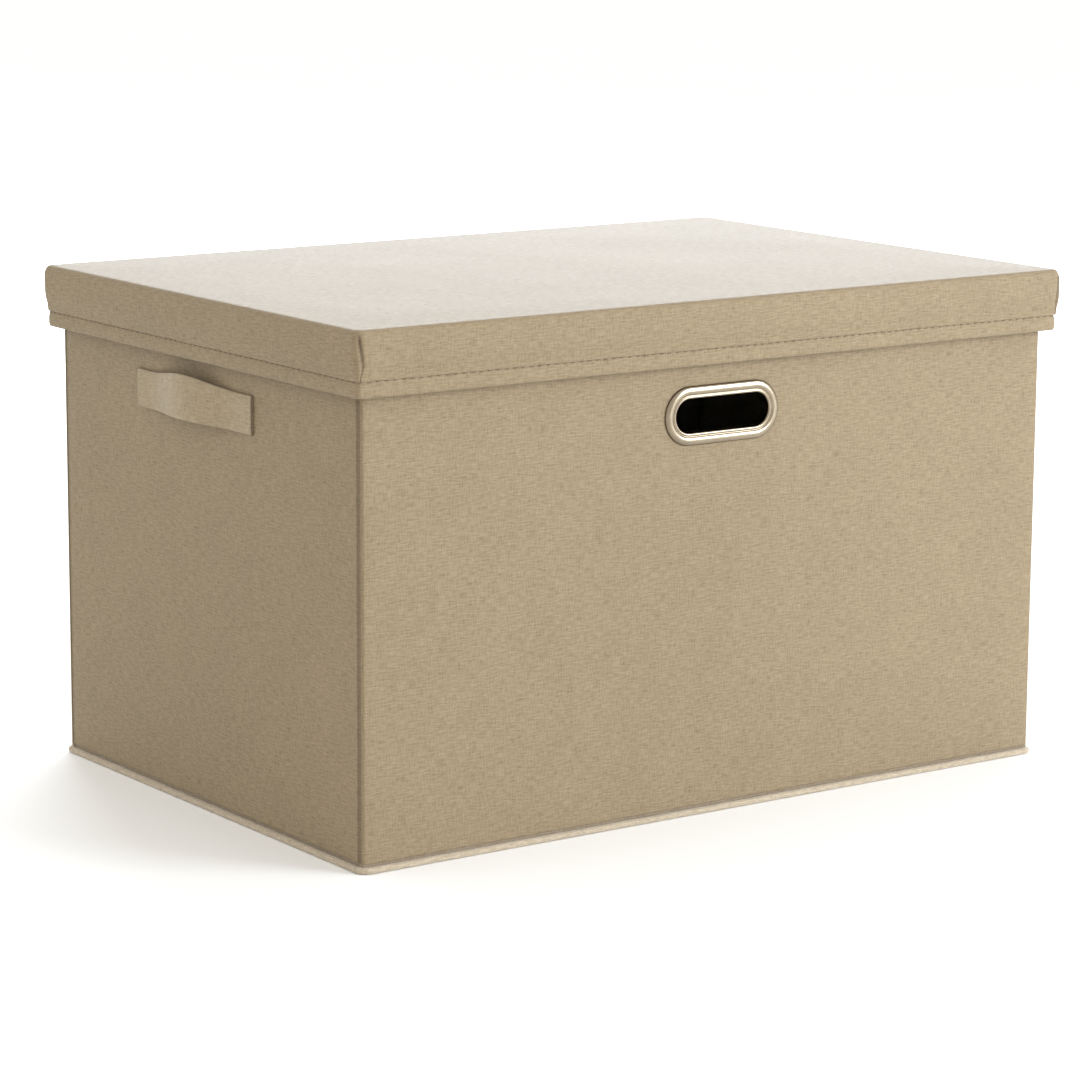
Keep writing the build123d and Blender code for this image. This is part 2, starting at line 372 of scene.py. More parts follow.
@dataclass(frozen=True)
class FloorFinish:
    """Pale matte floor."""

    name: str
    colour: Colour

    def material(self) -> bpy.types.Material:
        """Builds the material.

        Returns:
            The finished material.
        """
        n = NodeMaker(self.name)
        mottle = n.noise(n.place(), 3.0, 2.0)
        tone = n.mix(mottle, rgba(self.colour, 0.985), rgba(self.colour))
        return n.finish({"Base Color": tone, "Roughness": 0.9})


# dark brown painted shade for seam grooves, slits and the strap's cut ends
CLOTH_SEAM_SHADE = (0.085, 0.058, 0.032)
LOOKS = {
    "linen": ClothFinish("linen_cloth", (0.177, 0.128, 0.070), (0.303, 0.233, 0.141), CLOTH_SEAM_SHADE),
    "lining": ClothFinish(
        "cotton_lining",
        (0.50, 0.45, 0.37),
        (0.66, 0.61, 0.52),
        (0.2, 0.16, 0.11),
        slub_contrast=0.6,
        bump=0.3,
    ),
    "strap": ClothFinish("strap_cloth", (0.215, 0.16, 0.092), (0.37, 0.295, 0.187), CLOTH_SEAM_SHADE, sheen=0.2),
    # paler than the linen as painted light on the lip, which catches light from above; its seam colour is
    # painted contact shadow
    "binding": ClothFinish(
        "pale_binding", (0.30, 0.23, 0.15), (0.56, 0.48, 0.36), (0.13, 0.09, 0.05), bump=0.9, sheen=0.3
    ),
    "thread": ThreadFinish("brown_thread", (0.17, 0.118, 0.065)),
    "pale_thread": ThreadFinish("pale_thread", (0.42, 0.35, 0.24)),
    # the second colour is painted shade for the ring's foot
    "nickel": MetalFinish("warm_nickel", (0.29, 0.238, 0.17), grime=(0.07, 0.048, 0.028), roughness=0.22),
    "board": BoardFinish("grey_board", (0.36, 0.33, 0.28)),
}


@dataclass
class Finishes:
    """Every material of the bin."""

    linen: bpy.types.Material
    lining: bpy.types.Material
    strap: bpy.types.Material
    binding: bpy.types.Material
    thread: bpy.types.Material
    pale_thread: bpy.types.Material
    nickel: bpy.types.Material
    board: bpy.types.Material

    @classmethod
    def made(cls) -> "Finishes":
        """Builds each material once."""
        return cls(**{name: look.material() for name, look in LOOKS.items()})


# ---------------------------------------------------------------- mesh work
def rolling(point: Sequence[float], size: float, seed: float) -> float:
    """A smooth random height from about -1 to 1, with humps of this size in metres."""
    scaled = Vector(point) / size
    return noise.noise(scaled + Vector((seed, 2 * seed, -seed)))


def mark_seams(mesh: bpy.types.Mesh, values: Sequence[float] = ()) -> None:
    """Stores how much painted shade each vertex gets, from 0 to 1, or 0 everywhere."""
    attribute = mesh.attributes.new(SEAM_SHADE_ATTRIBUTE, "FLOAT", "POINT")
    if len(values):
        attribute.data.foreach_set("value", list(values))


def mesh_object(
    name: str,
    points: Sequence[Sequence[float]],
    faces: Sequence[Sequence[int]],
    seam_shade: Sequence[float] = (),
) -> bpy.types.Object:
    """Makes a mesh object, welded, smooth, with its faces pointing outwards.

    Args:
        name: the object's name.
        points: vertex positions.
        faces: vertex numbers of each face.
        seam_shade: how much painted shade each vertex gets, from 0 to 1, if any does.

    Returns:
        The object, linked to the scene.
    """
    mesh = bpy.data.meshes.new(name)
    mesh.from_pydata([tuple(p) for p in points], [], [tuple(f) for f in faces])
    if len(seam_shade):
        mark_seams(mesh, seam_shade)
    work = bmesh.new()
    work.from_mesh(mesh)
    bmesh.ops.remove_doubles(work, verts=work.verts, dist=1e-7)
    bmesh.ops.recalc_face_normals(work, faces=work.faces)
    work.to_mesh(mesh)
    work.free()
    mesh.shade_smooth()
    piece = bpy.data.objects.new(name, mesh)
    bpy.context.scene.collection.objects.link(piece)
    return piece


def weave_map(piece: bpy.types.Object) -> None:
    """Lays the weave on a piece in metres, square to the face that each polygon mostly looks along."""
    mesh = piece.data
    layer = mesh.uv_layers.new(name=WEAVE_MAP)
    vertex = np.zeros(len(mesh.loops), np.int32)
    mesh.loops.foreach_get("vertex_index", vertex)
    points = np.zeros(len(mesh.vertices) * 3, np.float32)
    mesh.vertices.foreach_get("co", points)
    points = points.reshape(-1, 3)[vertex]
    normals = np.zeros(len(mesh.polygons) * 3, np.float32)
    mesh.polygons.foreach_get("normal", normals)
    totals = np.zeros(len(mesh.polygons), np.int32)
    mesh.polygons.foreach_get("loop_total", totals)
    facing = np.repeat(np.abs(normals.reshape(-1, 3)).argmax(axis=1), totals)
    across = np.where(facing == 0, points[:, 1], points[:, 0])
    upward = np.where(facing == 2, points[:, 1], points[:, 2])
    shift = facing * WEAVE_SHIFT
    pairs = np.stack([across + shift, upward + shift], axis=1)
    layer.data.foreach_set("uv", pairs.astype(np.float32).ravel())


def baked(piece: bpy.types.Object) -> bpy.types.Object:
    """Turns a piece's modifiers into plain mesh."""
    evaluated = piece.evaluated_get(bpy.context.evaluated_depsgraph_get())
    mesh = bpy.data.meshes.new_from_object(evaluated)
    piece.modifiers.clear()
    piece.data = mesh
    return piece


def edge_drop(distance: np.ndarray, radius: float) -> np.ndarray:
    """How far a rounded edge has fallen at each distance from the edge."""
    short = np.clip(radius - distance, 0.0, radius)
    return radius - np.sqrt(np.maximum(radius * radius - short * short, 0.0))


def stations(low: float, high: float, low_round: float, high_round: float, step: float) -> np.ndarray:
    """Positions along a rounded piece, close together at its two ends."""
    shares = np.array([0.0, 0.1, 0.3, 0.6, 1.0, 1.7])
    start, end = low + low_round * shares, high - high_round * shares[::-1]
    count = max(2, math.ceil((end[0] - start[-1]) / step))
    return np.concatenate([start, np.linspace(start[-1], end[0], count + 1)[1:-1], end])


def smooth_step(share: float) -> float:
    """A share from 0 to 1, with soft ends."""
    return share * share * (3 - 2 * share)


def calmed(distance: float, size: float) -> float:
    """How free the cloth is at this distance from what holds it: 0 there, and 1 from this size on."""
    return min(1.0, max(0.0, distance / size))


def twin_faces(rows: int, columns: int) -> list[tuple[int, ...]]:
    """The faces of a closed piece made of two grids of points, the outer one first, joined at their edges."""
    other = rows * columns
    faces: list[tuple[int, ...]] = []
    for i in range(rows - 1):
        for j in range(columns - 1):
            a = i * columns + j
            faces.append((a, a + columns, a + columns + 1, a + 1))
            faces.append((other + a, other + a + 1, other + a + columns + 1, other + a + columns))
        for j in (0, columns - 1):
            a = i * columns + j
            faces.append((a, a + columns, other + a + columns, other + a))
    for j in range(columns - 1):
        for i in (0, rows - 1):
            a = i * columns + j
            faces.append((a, a + 1, other + a + 1, other + a))
    return faces


@dataclass(frozen=True)
class Axes:
    """The directions of a flat piece: along it, up it and inwards from its outer face."""

    origin: Vector
    along: Vector
    up: Vector
    inward: Vector

    def point(self, along: float, up: float, inward: float) -> Vector:
        """A point in the model's frame."""
        return self.origin + self.along * along + self.up * up + self.inward * inward


@dataclass
class Slab:
    """A flat soft piece with rounded edges."""

    axes: Axes
    along: Pair
    up: Pair
    depth: Pair
    side_round: float = 1.1 * MM
    top_round: float = 1.9 * MM
    foot_round: float = 0.6 * MM
    step: float = 6.5 * MM
    ripple: float = 0.22 * MM
    ripple_size: float = 60 * MM
    calm_size: float = 8 * MM
    seed: float = 1.0

    def build(self, name: str) -> bpy.types.Object:
        """Makes the slab as one closed mesh.

        Args:
            name: the object's name.

        Returns:
            The object.
        """
        thick = self.depth[1] - self.depth[0]
        us = stations(*self.along, self.side_round, self.side_round, self.step)
        vs = stations(*self.up, self.foot_round, self.top_round, self.step)
        drop_u = edge_drop(np.minimum(us - self.along[0], self.along[1] - us), self.side_round)
        drop_v = edge_drop(vs - self.up[0], self.foot_round) + edge_drop(self.up[1] - vs, self.top_round)
        points = []
        for side in (0, 1):
            for i, u in enumerate(us):
                for j, v in enumerate(vs):
                    drop = min(drop_u[i] + drop_v[j], 0.48 * thick)
                    near = min(u - self.along[0], self.along[1] - u, v - self.up[0], self.up[1] - v)
                    calm = calmed(near, self.calm_size)
                    point = self.axes.point(u, v, 0.0)
                    wave = self.ripple * calm * rolling(point, self.ripple_size, self.seed)
                    depth = self.depth[0] + drop - wave if side == 0 else self.depth[1] - drop
                    points.append(point + self.axes.inward * depth)
        return mesh_object(name, points, twin_faces(len(us), len(vs)))


def sweep(
    name: str,
    path: Sequence[Vector],
    flat: Vector,
    section: Callable[[int], Sequence[Pair]] | Sequence[Pair],
    closed: bool,
) -> bpy.types.Object:
    """Carries a closed section along a flat path.

    Args:
        name: the object's name.
        path: points of the path.
        flat: the direction square to the path's plane.
        section: outline points as (sideways, along flat), or a function that gives them at each path point.
        closed: True if the path closes on itself.

    Returns:
        The object, with capped ends where the path is open.
    """
    count = len(path)
    points: list[Vector] = []
    rings: list[list[int]] = []
    for i, here in enumerate(path):
        before = path[(i - 1) % count] if closed or i > 0 else here
        after = path[(i + 1) % count] if closed or i < count - 1 else here
        ahead = (after - before).normalized()
        sideways = ahead.cross(flat).normalized()
        outline = section(i) if callable(section) else section
        rings.append(list(range(len(points), len(points) + len(outline))))
        points += [here + sideways * s + flat * t for s, t in outline]
    faces = []
    size = len(rings[0])
    for i in range(count if closed else count - 1):
        this, following = rings[i], rings[(i + 1) % count]
        for k in range(size):
            m = (k + 1) % size
            faces.append((this[k], this[m], following[m], following[k]))
    if not closed:
        for ring in (rings[0], rings[-1]):
            faces.append(tuple(ring))
    piece = mesh_object(name, points, faces)
    if not closed:
        sharpen_caps(piece, size)
    return piece


def sharpen_caps(piece: bpy.types.Object, size: int) -> None:
    """Keeps the end caps of a swept piece from softening its last ring."""
    mesh = piece.data
    sharp = set()
    for polygon in mesh.polygons:
        if polygon.loop_total == size and size > 4:
            polygon.use_smooth = False
            sharp.update(tuple(sorted(key)) for key in polygon.edge_keys)
    for edge in mesh.edges:
        if tuple(sorted(edge.vertices)) in sharp:
            edge.use_edge_sharp = True


def oval(half_wide: float, half_tall: float, middle: Pair, count: int, power: float = 2.6) -> list[Pair]:
    """A rounded outline between an ellipse and a rectangle."""
    outline = []
    for k in range(count):
        angle = 2 * math.pi * k / count
        c, s = math.cos(angle), math.sin(angle)
        wide = math.copysign(abs(c) ** (2 / power), c) * half_wide
        tall = math.copysign(abs(s) ** (2 / power), s) * half_tall
        outline.append((middle[0] + wide, middle[1] + tall))
    return outline


def smooth_loop(knots: Sequence[Pair], steps: int, closed: bool = True) -> list[Pair]:
    """A smooth outline through these knots."""
    count = len(knots)
    outline = []
    for i in range(count if closed else count - 1):
        a, b, c, d = (
            knots[(i + k) % count] if closed else knots[min(max(i + k, 0), count - 1)]
            for k in (-1, 0, 1, 2)
        )
        for step in range(steps):
            t = step / steps
            outline.append(
                tuple(
                    0.5
                    * (
                        2 * b[n]
                        + (c[n] - a[n]) * t
                        + (2 * a[n] - 5 * b[n] + 4 * c[n] - d[n]) * t * t
                        + (3 * b[n] - a[n] - 3 * c[n] + d[n]) * t * t * t
                    )
                    for n in (0, 1)
                )
            )
    return outline


def settle(
    piece: bpy.types.Object, material: bpy.types.Material, weave: bool = True
) -> None:
    """Gives a finished mesh its material and weave map."""
    piece.data.materials.clear()
    piece.data.materials.append(material)
    if weave:
        weave_map(piece)
    LOG.info("built %s, %d faces", piece.name, len(piece.data.polygons))


# ---------------------------------------------------------------- stitching
@dataclass
class StitchTree:
    """Geometry nodes that lay stitches along the edges of a mesh."""

    tree: bpy.types.NodeTree = field(init=False)
    sockets: dict[str, str] = field(init=False)

    def __post_init__(self) -> None:
        """Builds the tree."""
        tree = bpy.data.node_groups.new("stitch_row", "GeometryNodeTree")
        face = tree.interface
        face.new_socket("Geometry", in_out="INPUT", socket_type="NodeSocketGeometry")
        wanted = {
            "Pitch": ("NodeSocketFloat", 5 * MM),
            "Length": ("NodeSocketFloat", 2.6 * MM),
            "Thickness": ("NodeSocketFloat", 0.6 * MM),
            "Wander": ("NodeSocketFloat", 0.06),
            "Seed": ("NodeSocketInt", 3),
            "Thread": ("NodeSocketMaterial", None),
        }
        self.sockets = {}
        for name, (kind, value) in wanted.items():
            socket = face.new_socket(name, in_out="INPUT", socket_type=kind)
            if value is not None:
                socket.default_value = value
            self.sockets[name] = socket.identifier
        face.new_socket("Geometry", in_out="OUTPUT", socket_type="NodeSocketGeometry")
        nodes, links = tree.nodes, tree.links
        given = nodes.new("NodeGroupInput")
        curve = nodes.new("GeometryNodeMeshToCurve")
        spots = nodes.new("GeometryNodeCurveToPoints")
        spots.mode = "LENGTH"
        ball = nodes.new("GeometryNodeMeshUVSphere")
        ball.inputs["Segments"].default_value = 8
        ball.inputs["Rings"].default_value = 5
        ball.inputs["Radius"].default_value = 0.5
        size = nodes.new("ShaderNodeCombineXYZ")
        shape = nodes.new("GeometryNodeTransform")
        aim = nodes.new("FunctionNodeAlignEulerToVector")
        aim.axis = "X"
        jitter = nodes.new("FunctionNodeRandomValue")
        jitter.data_type = "FLOAT_VECTOR"
        lowest = nodes.new("ShaderNodeVectorMath")
        lowest.operation = "SCALE"
        lowest.inputs[0].default_value = (-1, -1, -1)
        highest = nodes.new("ShaderNodeVectorMath")
        highest.operation = "SCALE"
        highest.inputs[0].default_value = (1, 1, 1)
        turn = nodes.new("FunctionNodeRotateEuler")
        turn.space = "LOCAL"
        copies = nodes.new("GeometryNodeInstanceOnPoints")
        real = nodes.new("GeometryNodeRealizeInstances")
        paint = nodes.new("GeometryNodeSetMaterial")
        shade = nodes.new("GeometryNodeSetShadeSmooth")
        result = nodes.new("NodeGroupOutput")
        for source, target in (
            (given.outputs["Geometry"], curve.inputs[0]),
            (curve.outputs[0], spots.inputs["Curve"]),
            (given.outputs["Pitch"], spots.inputs["Length"]),
            (given.outputs["Length"], size.inputs[0]),
            (given.outputs["Thickness"], size.inputs[1]),
            (given.outputs["Thickness"], size.inputs[2]),
            (ball.outputs["Mesh"], shape.inputs["Geometry"]),
            (size.outputs[0], shape.inputs["Scale"]),
            (spots.outputs["Tangent"], aim.inputs["Vector"]),
            (given.outputs["Wander"], lowest.inputs["Scale"]),
            (given.outputs["Wander"], highest.inputs["Scale"]),
            (lowest.outputs[0], jitter.inputs[0]),
            (highest.outputs[0], jitter.inputs[1]),
            (given.outputs["Seed"], jitter.inputs["Seed"]),
            (aim.outputs[0], turn.inputs[0]),
            (jitter.outputs[0], turn.inputs[1]),
            (spots.outputs["Points"], copies.inputs["Points"]),
            (shape.outputs[0], copies.inputs["Instance"]),
            (turn.outputs[0], copies.inputs["Rotation"]),
            (copies.outputs[0], shade.inputs[0]),
            (shade.outputs[0], real.inputs[0]),
            (real.outputs[0], paint.inputs["Geometry"]),
            (given.outputs["Thread"], paint.inputs["Material"]),
            (paint.outputs[0], result.inputs[0]),
        ):
            links.new(source, target)
        self.tree = tree

    def sew(
        self, name: str, line: Sequence[Vector], thread: bpy.types.Material, seed: int = 3, **sizes: float
    ) -> bpy.types.Object:
        """Sews along a line.

        Args:
            name: the new object's name.
            line: points that the thread follows.
            thread: the thread's material.
            seed: fixes the small turns of the stitches.
            sizes: values for the tree's other inputs, by name.

        Returns:
            All the stitches as one plain mesh.
        """
        mesh = bpy.data.meshes.new(name)
        mesh.from_pydata([tuple(p) for p in line], [(k, k + 1) for k in range(len(line) - 1)], [])
        piece = bpy.data.objects.new(name, mesh)
        bpy.context.scene.collection.objects.link(piece)
        rule = piece.modifiers.new("stitch_row", "NODES")
        rule.node_group = self.tree
        for key, value in {"Seed": seed, "Thread": thread, **sizes}.items():
            rule[self.sockets[key]] = value
        baked(piece)
        LOG.info("sewed %s, %d faces", name, len(piece.data.polygons))
        return piece


# ---------------------------------------------------------------- the bin's walls
class Wall(Enum):
    """The four walls: direction along, and inward."""

    FRONT = ((1, 0, 0), (0, 1, 0))
    BACK = ((-1, 0, 0), (0, -1, 0))
    LEFT = ((0, -1, 0), (1, 0, 0))
    RIGHT = ((0, 1, 0), (-1, 0, 0))

    @property
    def is_long(self) -> bool:
        """True for the front and the back."""
        return self in (Wall.FRONT, Wall.BACK)

    @property
    def label(self) -> str:
        """The wall's name in node and piece names."""
        return self.name.lower()

    def axes(self, face: float) -> Axes:
        """The wall's axes, with its outer face this far from the bin's middle."""
        along, inward = Vector(self.value[0]), Vector(self.value[1])
        return Axes(-inward * face, along, UP, inward)


@dataclass
class Shell:
    """Sizes of the bin's body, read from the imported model."""

    lining_share: float = 0.2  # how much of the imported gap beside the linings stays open
    half_length: float = field(init=False)
    half_depth: float = field(init=False)
    thickness: float = field(init=False)
    panel_foot: float = field(init=False)
    rim: float = field(init=False)
    lining_top: float = field(init=False)
    lining_depth: float = field(init=False)
    mitre_gap: float = field(init=False)
    lining_gap: float = field(init=False)

    def __post_init__(self) -> None:
        """Measures the model."""
        low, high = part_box("front_cover")
        side_low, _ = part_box("left_front_cover")
        lining_low, lining_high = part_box("front_lining")
        self.half_length = -side_low.x
        self.half_depth = -low.y
        self.thickness = high.y - low.y
        self.panel_foot = low.z
        self.rim = high.z
        self.lining_top = lining_high.z
        self.lining_depth = lining_low.y - low.y
        self.mitre_gap = self.half_length - high.x
        self.lining_gap = self.half_length - self.thickness - lining_high.x

    def half(self, wall: Wall) -> float:
        """Half of the bin's size along a wall."""
        return self.half_length if wall.is_long else self.half_depth

    def face_axes(self, wall: Wall) -> Axes:
        """A wall's axes, from the middle of its outer face."""
        return wall.axes(self.half_depth if wall.is_long else self.half_length)

    def reach(self, wall: Wall) -> float:
        """How far a wall goes each way from its middle, at its outer face."""
        return self.half(wall) - self.mitre_gap

    def lining_reach(self, wall: Wall) -> float:
        """How far a wall's lining goes each way from its middle."""
        return self.half(wall) - self.thickness - self.lining_share * self.lining_gap


@dataclass
class PlanPoint:
    """One place of a wall's plan: its outer point, its inner point and how much painted seam shade it gets.
    """

    outer: Pair
    inner: Pair
    seam: float = 0.0


@dataclass
class WallCloth:
    """Outer cloth, lining and topstitching of all four walls."""

    shell: Shell
    finishes: Finishes
    stitches: StitchTree
    crease_bend: float = 7 * MM
    corner_round: float = 1.7 * MM
    wrap: float = 2.0 * MM
    wrap_thickness: float = 0.7 * MM
    seam_width: float = 3.5 * MM
    seam_depth: float = 0.55 * MM
    foot_lap: float = 0.15 * MM
    rim_foot_round: float = 0.5 * MM
    wave_height: float = 0.3 * MM
    wave_size: float = 60 * MM
    calm_size: float = 10 * MM
    hole_inset: float = 4.6 * MM
    stitch_sink: float = 0.13 * MM
    stitch_rise: float = 2.2 * MM
    stitch_inset: float = 6 * MM
    # painted shade in the corner seam grooves, stronger at the front corners than at the rear ones
    front_seam: float = 0.5
    rear_seam: float = 0.12
    rim_round: float = 1.9 * MM
    step: float = 6.5 * MM

    def attach(self, piece: bpy.types.Object, wall: Wall) -> None:
        """Rides a piece on a long wall's body, or fixes a side wall's piece in the model's frame."""
        if wall.is_long:
            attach(piece, Body[wall.name].value)
        else:
            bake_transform(piece)

    def nodes(self, wall: Wall, layer: str) -> list[str]:
        """The model's nodes of one layer of a wall."""
        if wall.is_long:
            return [f"{wall.label}_{layer}"]
        return [f"{wall.label}_{part}_{layer}" for part in ("rear", "front")]

    def cut_hole(self, piece: bpy.types.Object) -> None:
        """Cuts the hand hole through a piece of the front wall."""
        low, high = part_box("grommet_washer")
        ring_low, ring_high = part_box("grommet_ring")
        middle = (low + high) / 2
        half_wide = (high.x - low.x) / 2 - self.hole_inset
        half_tall = (high.z - low.z) / 2 - self.hole_inset
        outline = stadium(half_wide, half_tall, 12)
        margin = 5 * MM
        front, back = ring_low.y - margin, ring_high.y + margin
        points = [(middle.x + x, y, middle.z + z) for y in (front, back) for x, z in outline]
        size = len(outline)
        faces = [tuple(range(size)), tuple(range(size, 2 * size))]
        faces += [(k, (k + 1) % size, size + (k + 1) % size, size + k) for k in range(size)]
        cutter = mesh_object("hole_cutter", points, faces)
        cut = piece.modifiers.new("hole", "BOOLEAN")
        cut.operation, cut.solver, cut.object = "DIFFERENCE", "EXACT", cutter
        baked(piece)
        bpy.data.objects.remove(cutter)

    def wrapped_end(self) -> list[PlanPoint]:
        """The plan of a long wall's end from its tip: its cloth goes round the corner onto the side.

        Returns:
            The points, with the distance from the side wall's outer face and the depth into the wall.
        """
        thick, gap, r = self.shell.thickness, self.shell.mitre_gap, self.corner_round
        skin, tip = self.wrap_thickness, self.wrap
        ends = [
            # the wrap's tip gets painted seam shade
            PlanPoint((0.35 * skin, tip), (0.75 * skin, tip), 1.0),
            PlanPoint((0.05 * skin, tip - 0.15 * skin), (skin, tip - 0.15 * skin), 0.4),
            PlanPoint((0.0, tip - 0.35 * skin), (skin, tip - 0.35 * skin), 0.0),
        ]
        steps = 6
        for k in range(steps + 1):
            angle = math.pi / 2 * k / steps
            outer = (r - r * math.cos(angle), r - r * math.sin(angle))
            depth = skin + (thick - skin) * max(0, k - 1) / (steps - 1)
            inner = (skin, 1.4 * skin) if k == 0 else (gap + depth, depth)
            ends.append(PlanPoint(outer, inner))
        return ends

    def tucked_end(self) -> list[PlanPoint]:
        """The plan of a short wall's end: its cloth dives under the long wall's wrapped cloth."""
        thick, gap, deep = self.shell.thickness, self.shell.mitre_gap, self.seam_depth
        start = self.wrap + self.seam_width
        # each row: along the wall, depth, and painted seam shade in the groove
        shape = [
            (deep + gap, deep, 1.0),
            (0.6 * start, deep, 1.0),
            (start - 0.7 * MM, deep, 1.0),
            (start - 0.2 * MM, 0.75 * deep, 1.0),
            (start + 0.1 * MM, 0.35 * deep, 0.8),
            (start + 0.45 * MM, 0.1 * deep, 0.25),
            (start + 1.1 * MM, 0.0, 0.0),
        ]
        depths = np.linspace(deep + 0.5 * MM, thick, len(shape))
        return [PlanPoint((u, w), (gap + d, d), seam) for (u, w, seam), d in zip(shape, depths)]

    def plan(self, wall: Wall) -> list[PlanPoint]:
        """The whole plan of a wall's cloth, from one end to the other."""
        half = self.shell.half(wall)
        end = self.wrapped_end() if wall.is_long else self.tucked_end()
        # painted shade in the corner seam grooves, by corner
        near_seam_shade = self.front_seam if wall in (Wall.FRONT, Wall.RIGHT) else self.rear_seam
        far_seam_shade = self.front_seam if wall in (Wall.FRONT, Wall.LEFT) else self.rear_seam
        near = [
            PlanPoint((p.outer[0] - half, p.outer[1]), (p.inner[0] - half, p.inner[1]), p.seam * near_seam_shade)
            for p in end
        ]
        far = [
            PlanPoint((half - p.outer[0], p.outer[1]), (half - p.inner[0], p.inner[1]), p.seam * far_seam_shade)
            for p in reversed(end)
        ]
        outer_reach, inner_reach = far[0].outer[0], far[0].inner[0]
        count = math.ceil(2 * outer_reach / self.step)
        shares = np.linspace(-1, 1, count + 1)[1:-1]
        middle = [PlanPoint((s * outer_reach, 0.0), (s * inner_reach, self.shell.thickness)) for s in shares]
        return near + middle + far

    def cover_mesh(self, name: str, wall: Wall, seed: float) -> bpy.types.Object:
        """The closed mesh of a wall's outer cloth, with its rounded rim.

        Args:
            name: the object's name.
            wall: the wall.
            seed: fixes the cloth's waves.

        Returns:
            The object, with its painted seam shade as a point attribute.
        """
        shell, r = self.shell, self.rim_round
        axes = shell.face_axes(wall)
        plan = self.plan(wall)
        foot = shell.panel_foot - self.foot_lap
        heights = stations(foot, shell.rim, self.rim_foot_round, r, self.step)
        half = abs(plan[0].outer[0])
        points, seam_shade = [], []
        for is_inside in (False, True):
            for place in plan:
                outer, inner = np.array(place.outer), np.array(place.inner)
                across = inner - outer
                width = float(np.linalg.norm(across))
                limit = 0.47 * width  # keeps the two faces apart where both are rounded
                lowered = r - math.sqrt(max(0.0, r * r - (r - min(limit, r)) ** 2))
                for height in heights:
                    z = min(height, shell.rim - lowered) if limit < r else height
                    rim_drop = float(edge_drop(np.array(shell.rim - z), r))
                    foot_drop = float(edge_drop(np.array(z - foot), self.rim_foot_round))
                    shift = across / width * min(rim_drop + foot_drop, limit)
                    calm = calmed(min(half - abs(outer[0]), z - foot, shell.rim - z), self.calm_size)
                    if is_inside:
                        flat = inner - shift
                        depth = flat[1] if z >= shell.lining_top else min(flat[1], shell.lining_depth)
                    else:
                        flat = outer + shift
                        wave = rolling(axes.point(flat[0], z, 0), self.wave_size, seed)
                        depth = flat[1] - self.wave_height * calm * wave
                    points.append(axes.point(float(flat[0]), z, float(depth)))
                    # painted seam shade of this place
                    seam_shade.append(place.seam)
        return mesh_object(name, points, twin_faces(len(plan), len(heights)), seam_shade)

    def cover(self, wall: Wall, seed: float) -> None:
        """The outer cloth of a wall, over the rim and down inside."""
        shell = self.shell
        piece = self.cover_mesh(f"{wall.label}_cloth", wall, seed)
        if wall is Wall.FRONT:
            self.cut_hole(piece)
        settle(piece, self.finishes.linen)
        self.attach(piece, wall)
        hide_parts(*self.nodes(wall, "cover"))
        turned = shell.rim - shell.lining_top + shell.thickness
        flat = (2 * shell.reach(wall) + 2 * shell.thickness, shell.rim - shell.panel_foot + turned)

    def lining(self, wall: Wall, seed: float) -> None:
        """The inner cloth of a wall."""
        shell = self.shell
        reach = shell.lining_reach(wall)
        outer = shell.face_axes(wall)
        slab = Slab(
            axes=Axes(outer.point(0, 0, shell.thickness), -outer.along, UP, -outer.inward),
            along=(-reach, reach),
            up=(shell.panel_foot, shell.lining_top),
            depth=(0.0, shell.thickness - shell.lining_depth - 0.05 * MM),
            side_round=0.3 * MM,
            top_round=0.35 * MM,
            foot_round=0.3 * MM,
            ripple=0.25 * MM,
            ripple_size=45 * MM,
            step=8 * MM,
            seed=seed,
        )
        piece = slab.build(f"{wall.label}_inner_cloth")
        if wall is Wall.FRONT:
            self.cut_hole(piece)
        settle(piece, self.finishes.lining)
        self.attach(piece, wall)
        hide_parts(*self.nodes(wall, "lining"))

    def topstitch(self, wall: Wall, seed: int) -> None:
        """The row of stitches inside the rim that holds the turned cloth to the lining."""
        shell = self.shell
        axes = shell.face_axes(wall)
        reach = shell.lining_reach(wall) - self.stitch_inset
        height, depth = shell.lining_top + self.stitch_rise, shell.thickness - self.stitch_sink
        line = [axes.point(u, height, depth) for u in np.linspace(-reach, reach, 60)]
        sizes = {"Pitch": 4.2 * MM, "Thickness": 0.45 * MM, "Wander": 0.02}
        name = f"{wall.label}_rim_stitching"
        piece = self.stitches.sew(name, line, self.finishes.pale_thread, seed, **sizes)
        self.attach(piece, wall)

    def build(self) -> None:
        """Makes every wall's cloth."""
        for number, wall in enumerate(Wall):
            self.cover(wall, 3.1 + 7 * number)
            self.lining(wall, 5.7 + 3 * number)
            self.topstitch(wall, 11 + number)


def stadium(half_wide: float, half_tall: float, steps: int, straight_steps: int = 10) -> list[Pair]:
    """A closed outline with two straight sides and two half-round ends, anticlockwise."""
    straight = half_wide - half_tall
    outline = []
    for way in (1, -1):
        for k in range(steps + 1):
            angle = -math.pi / 2 + math.pi * k / steps
            x, z = straight + half_tall * math.cos(angle), half_tall * math.sin(angle)
            outline.append((way * x, way * z))
        for k in range(1, straight_steps):
            outline.append((way * straight * (1 - 2 * k / straight_steps), way * half_tall))
    return outline


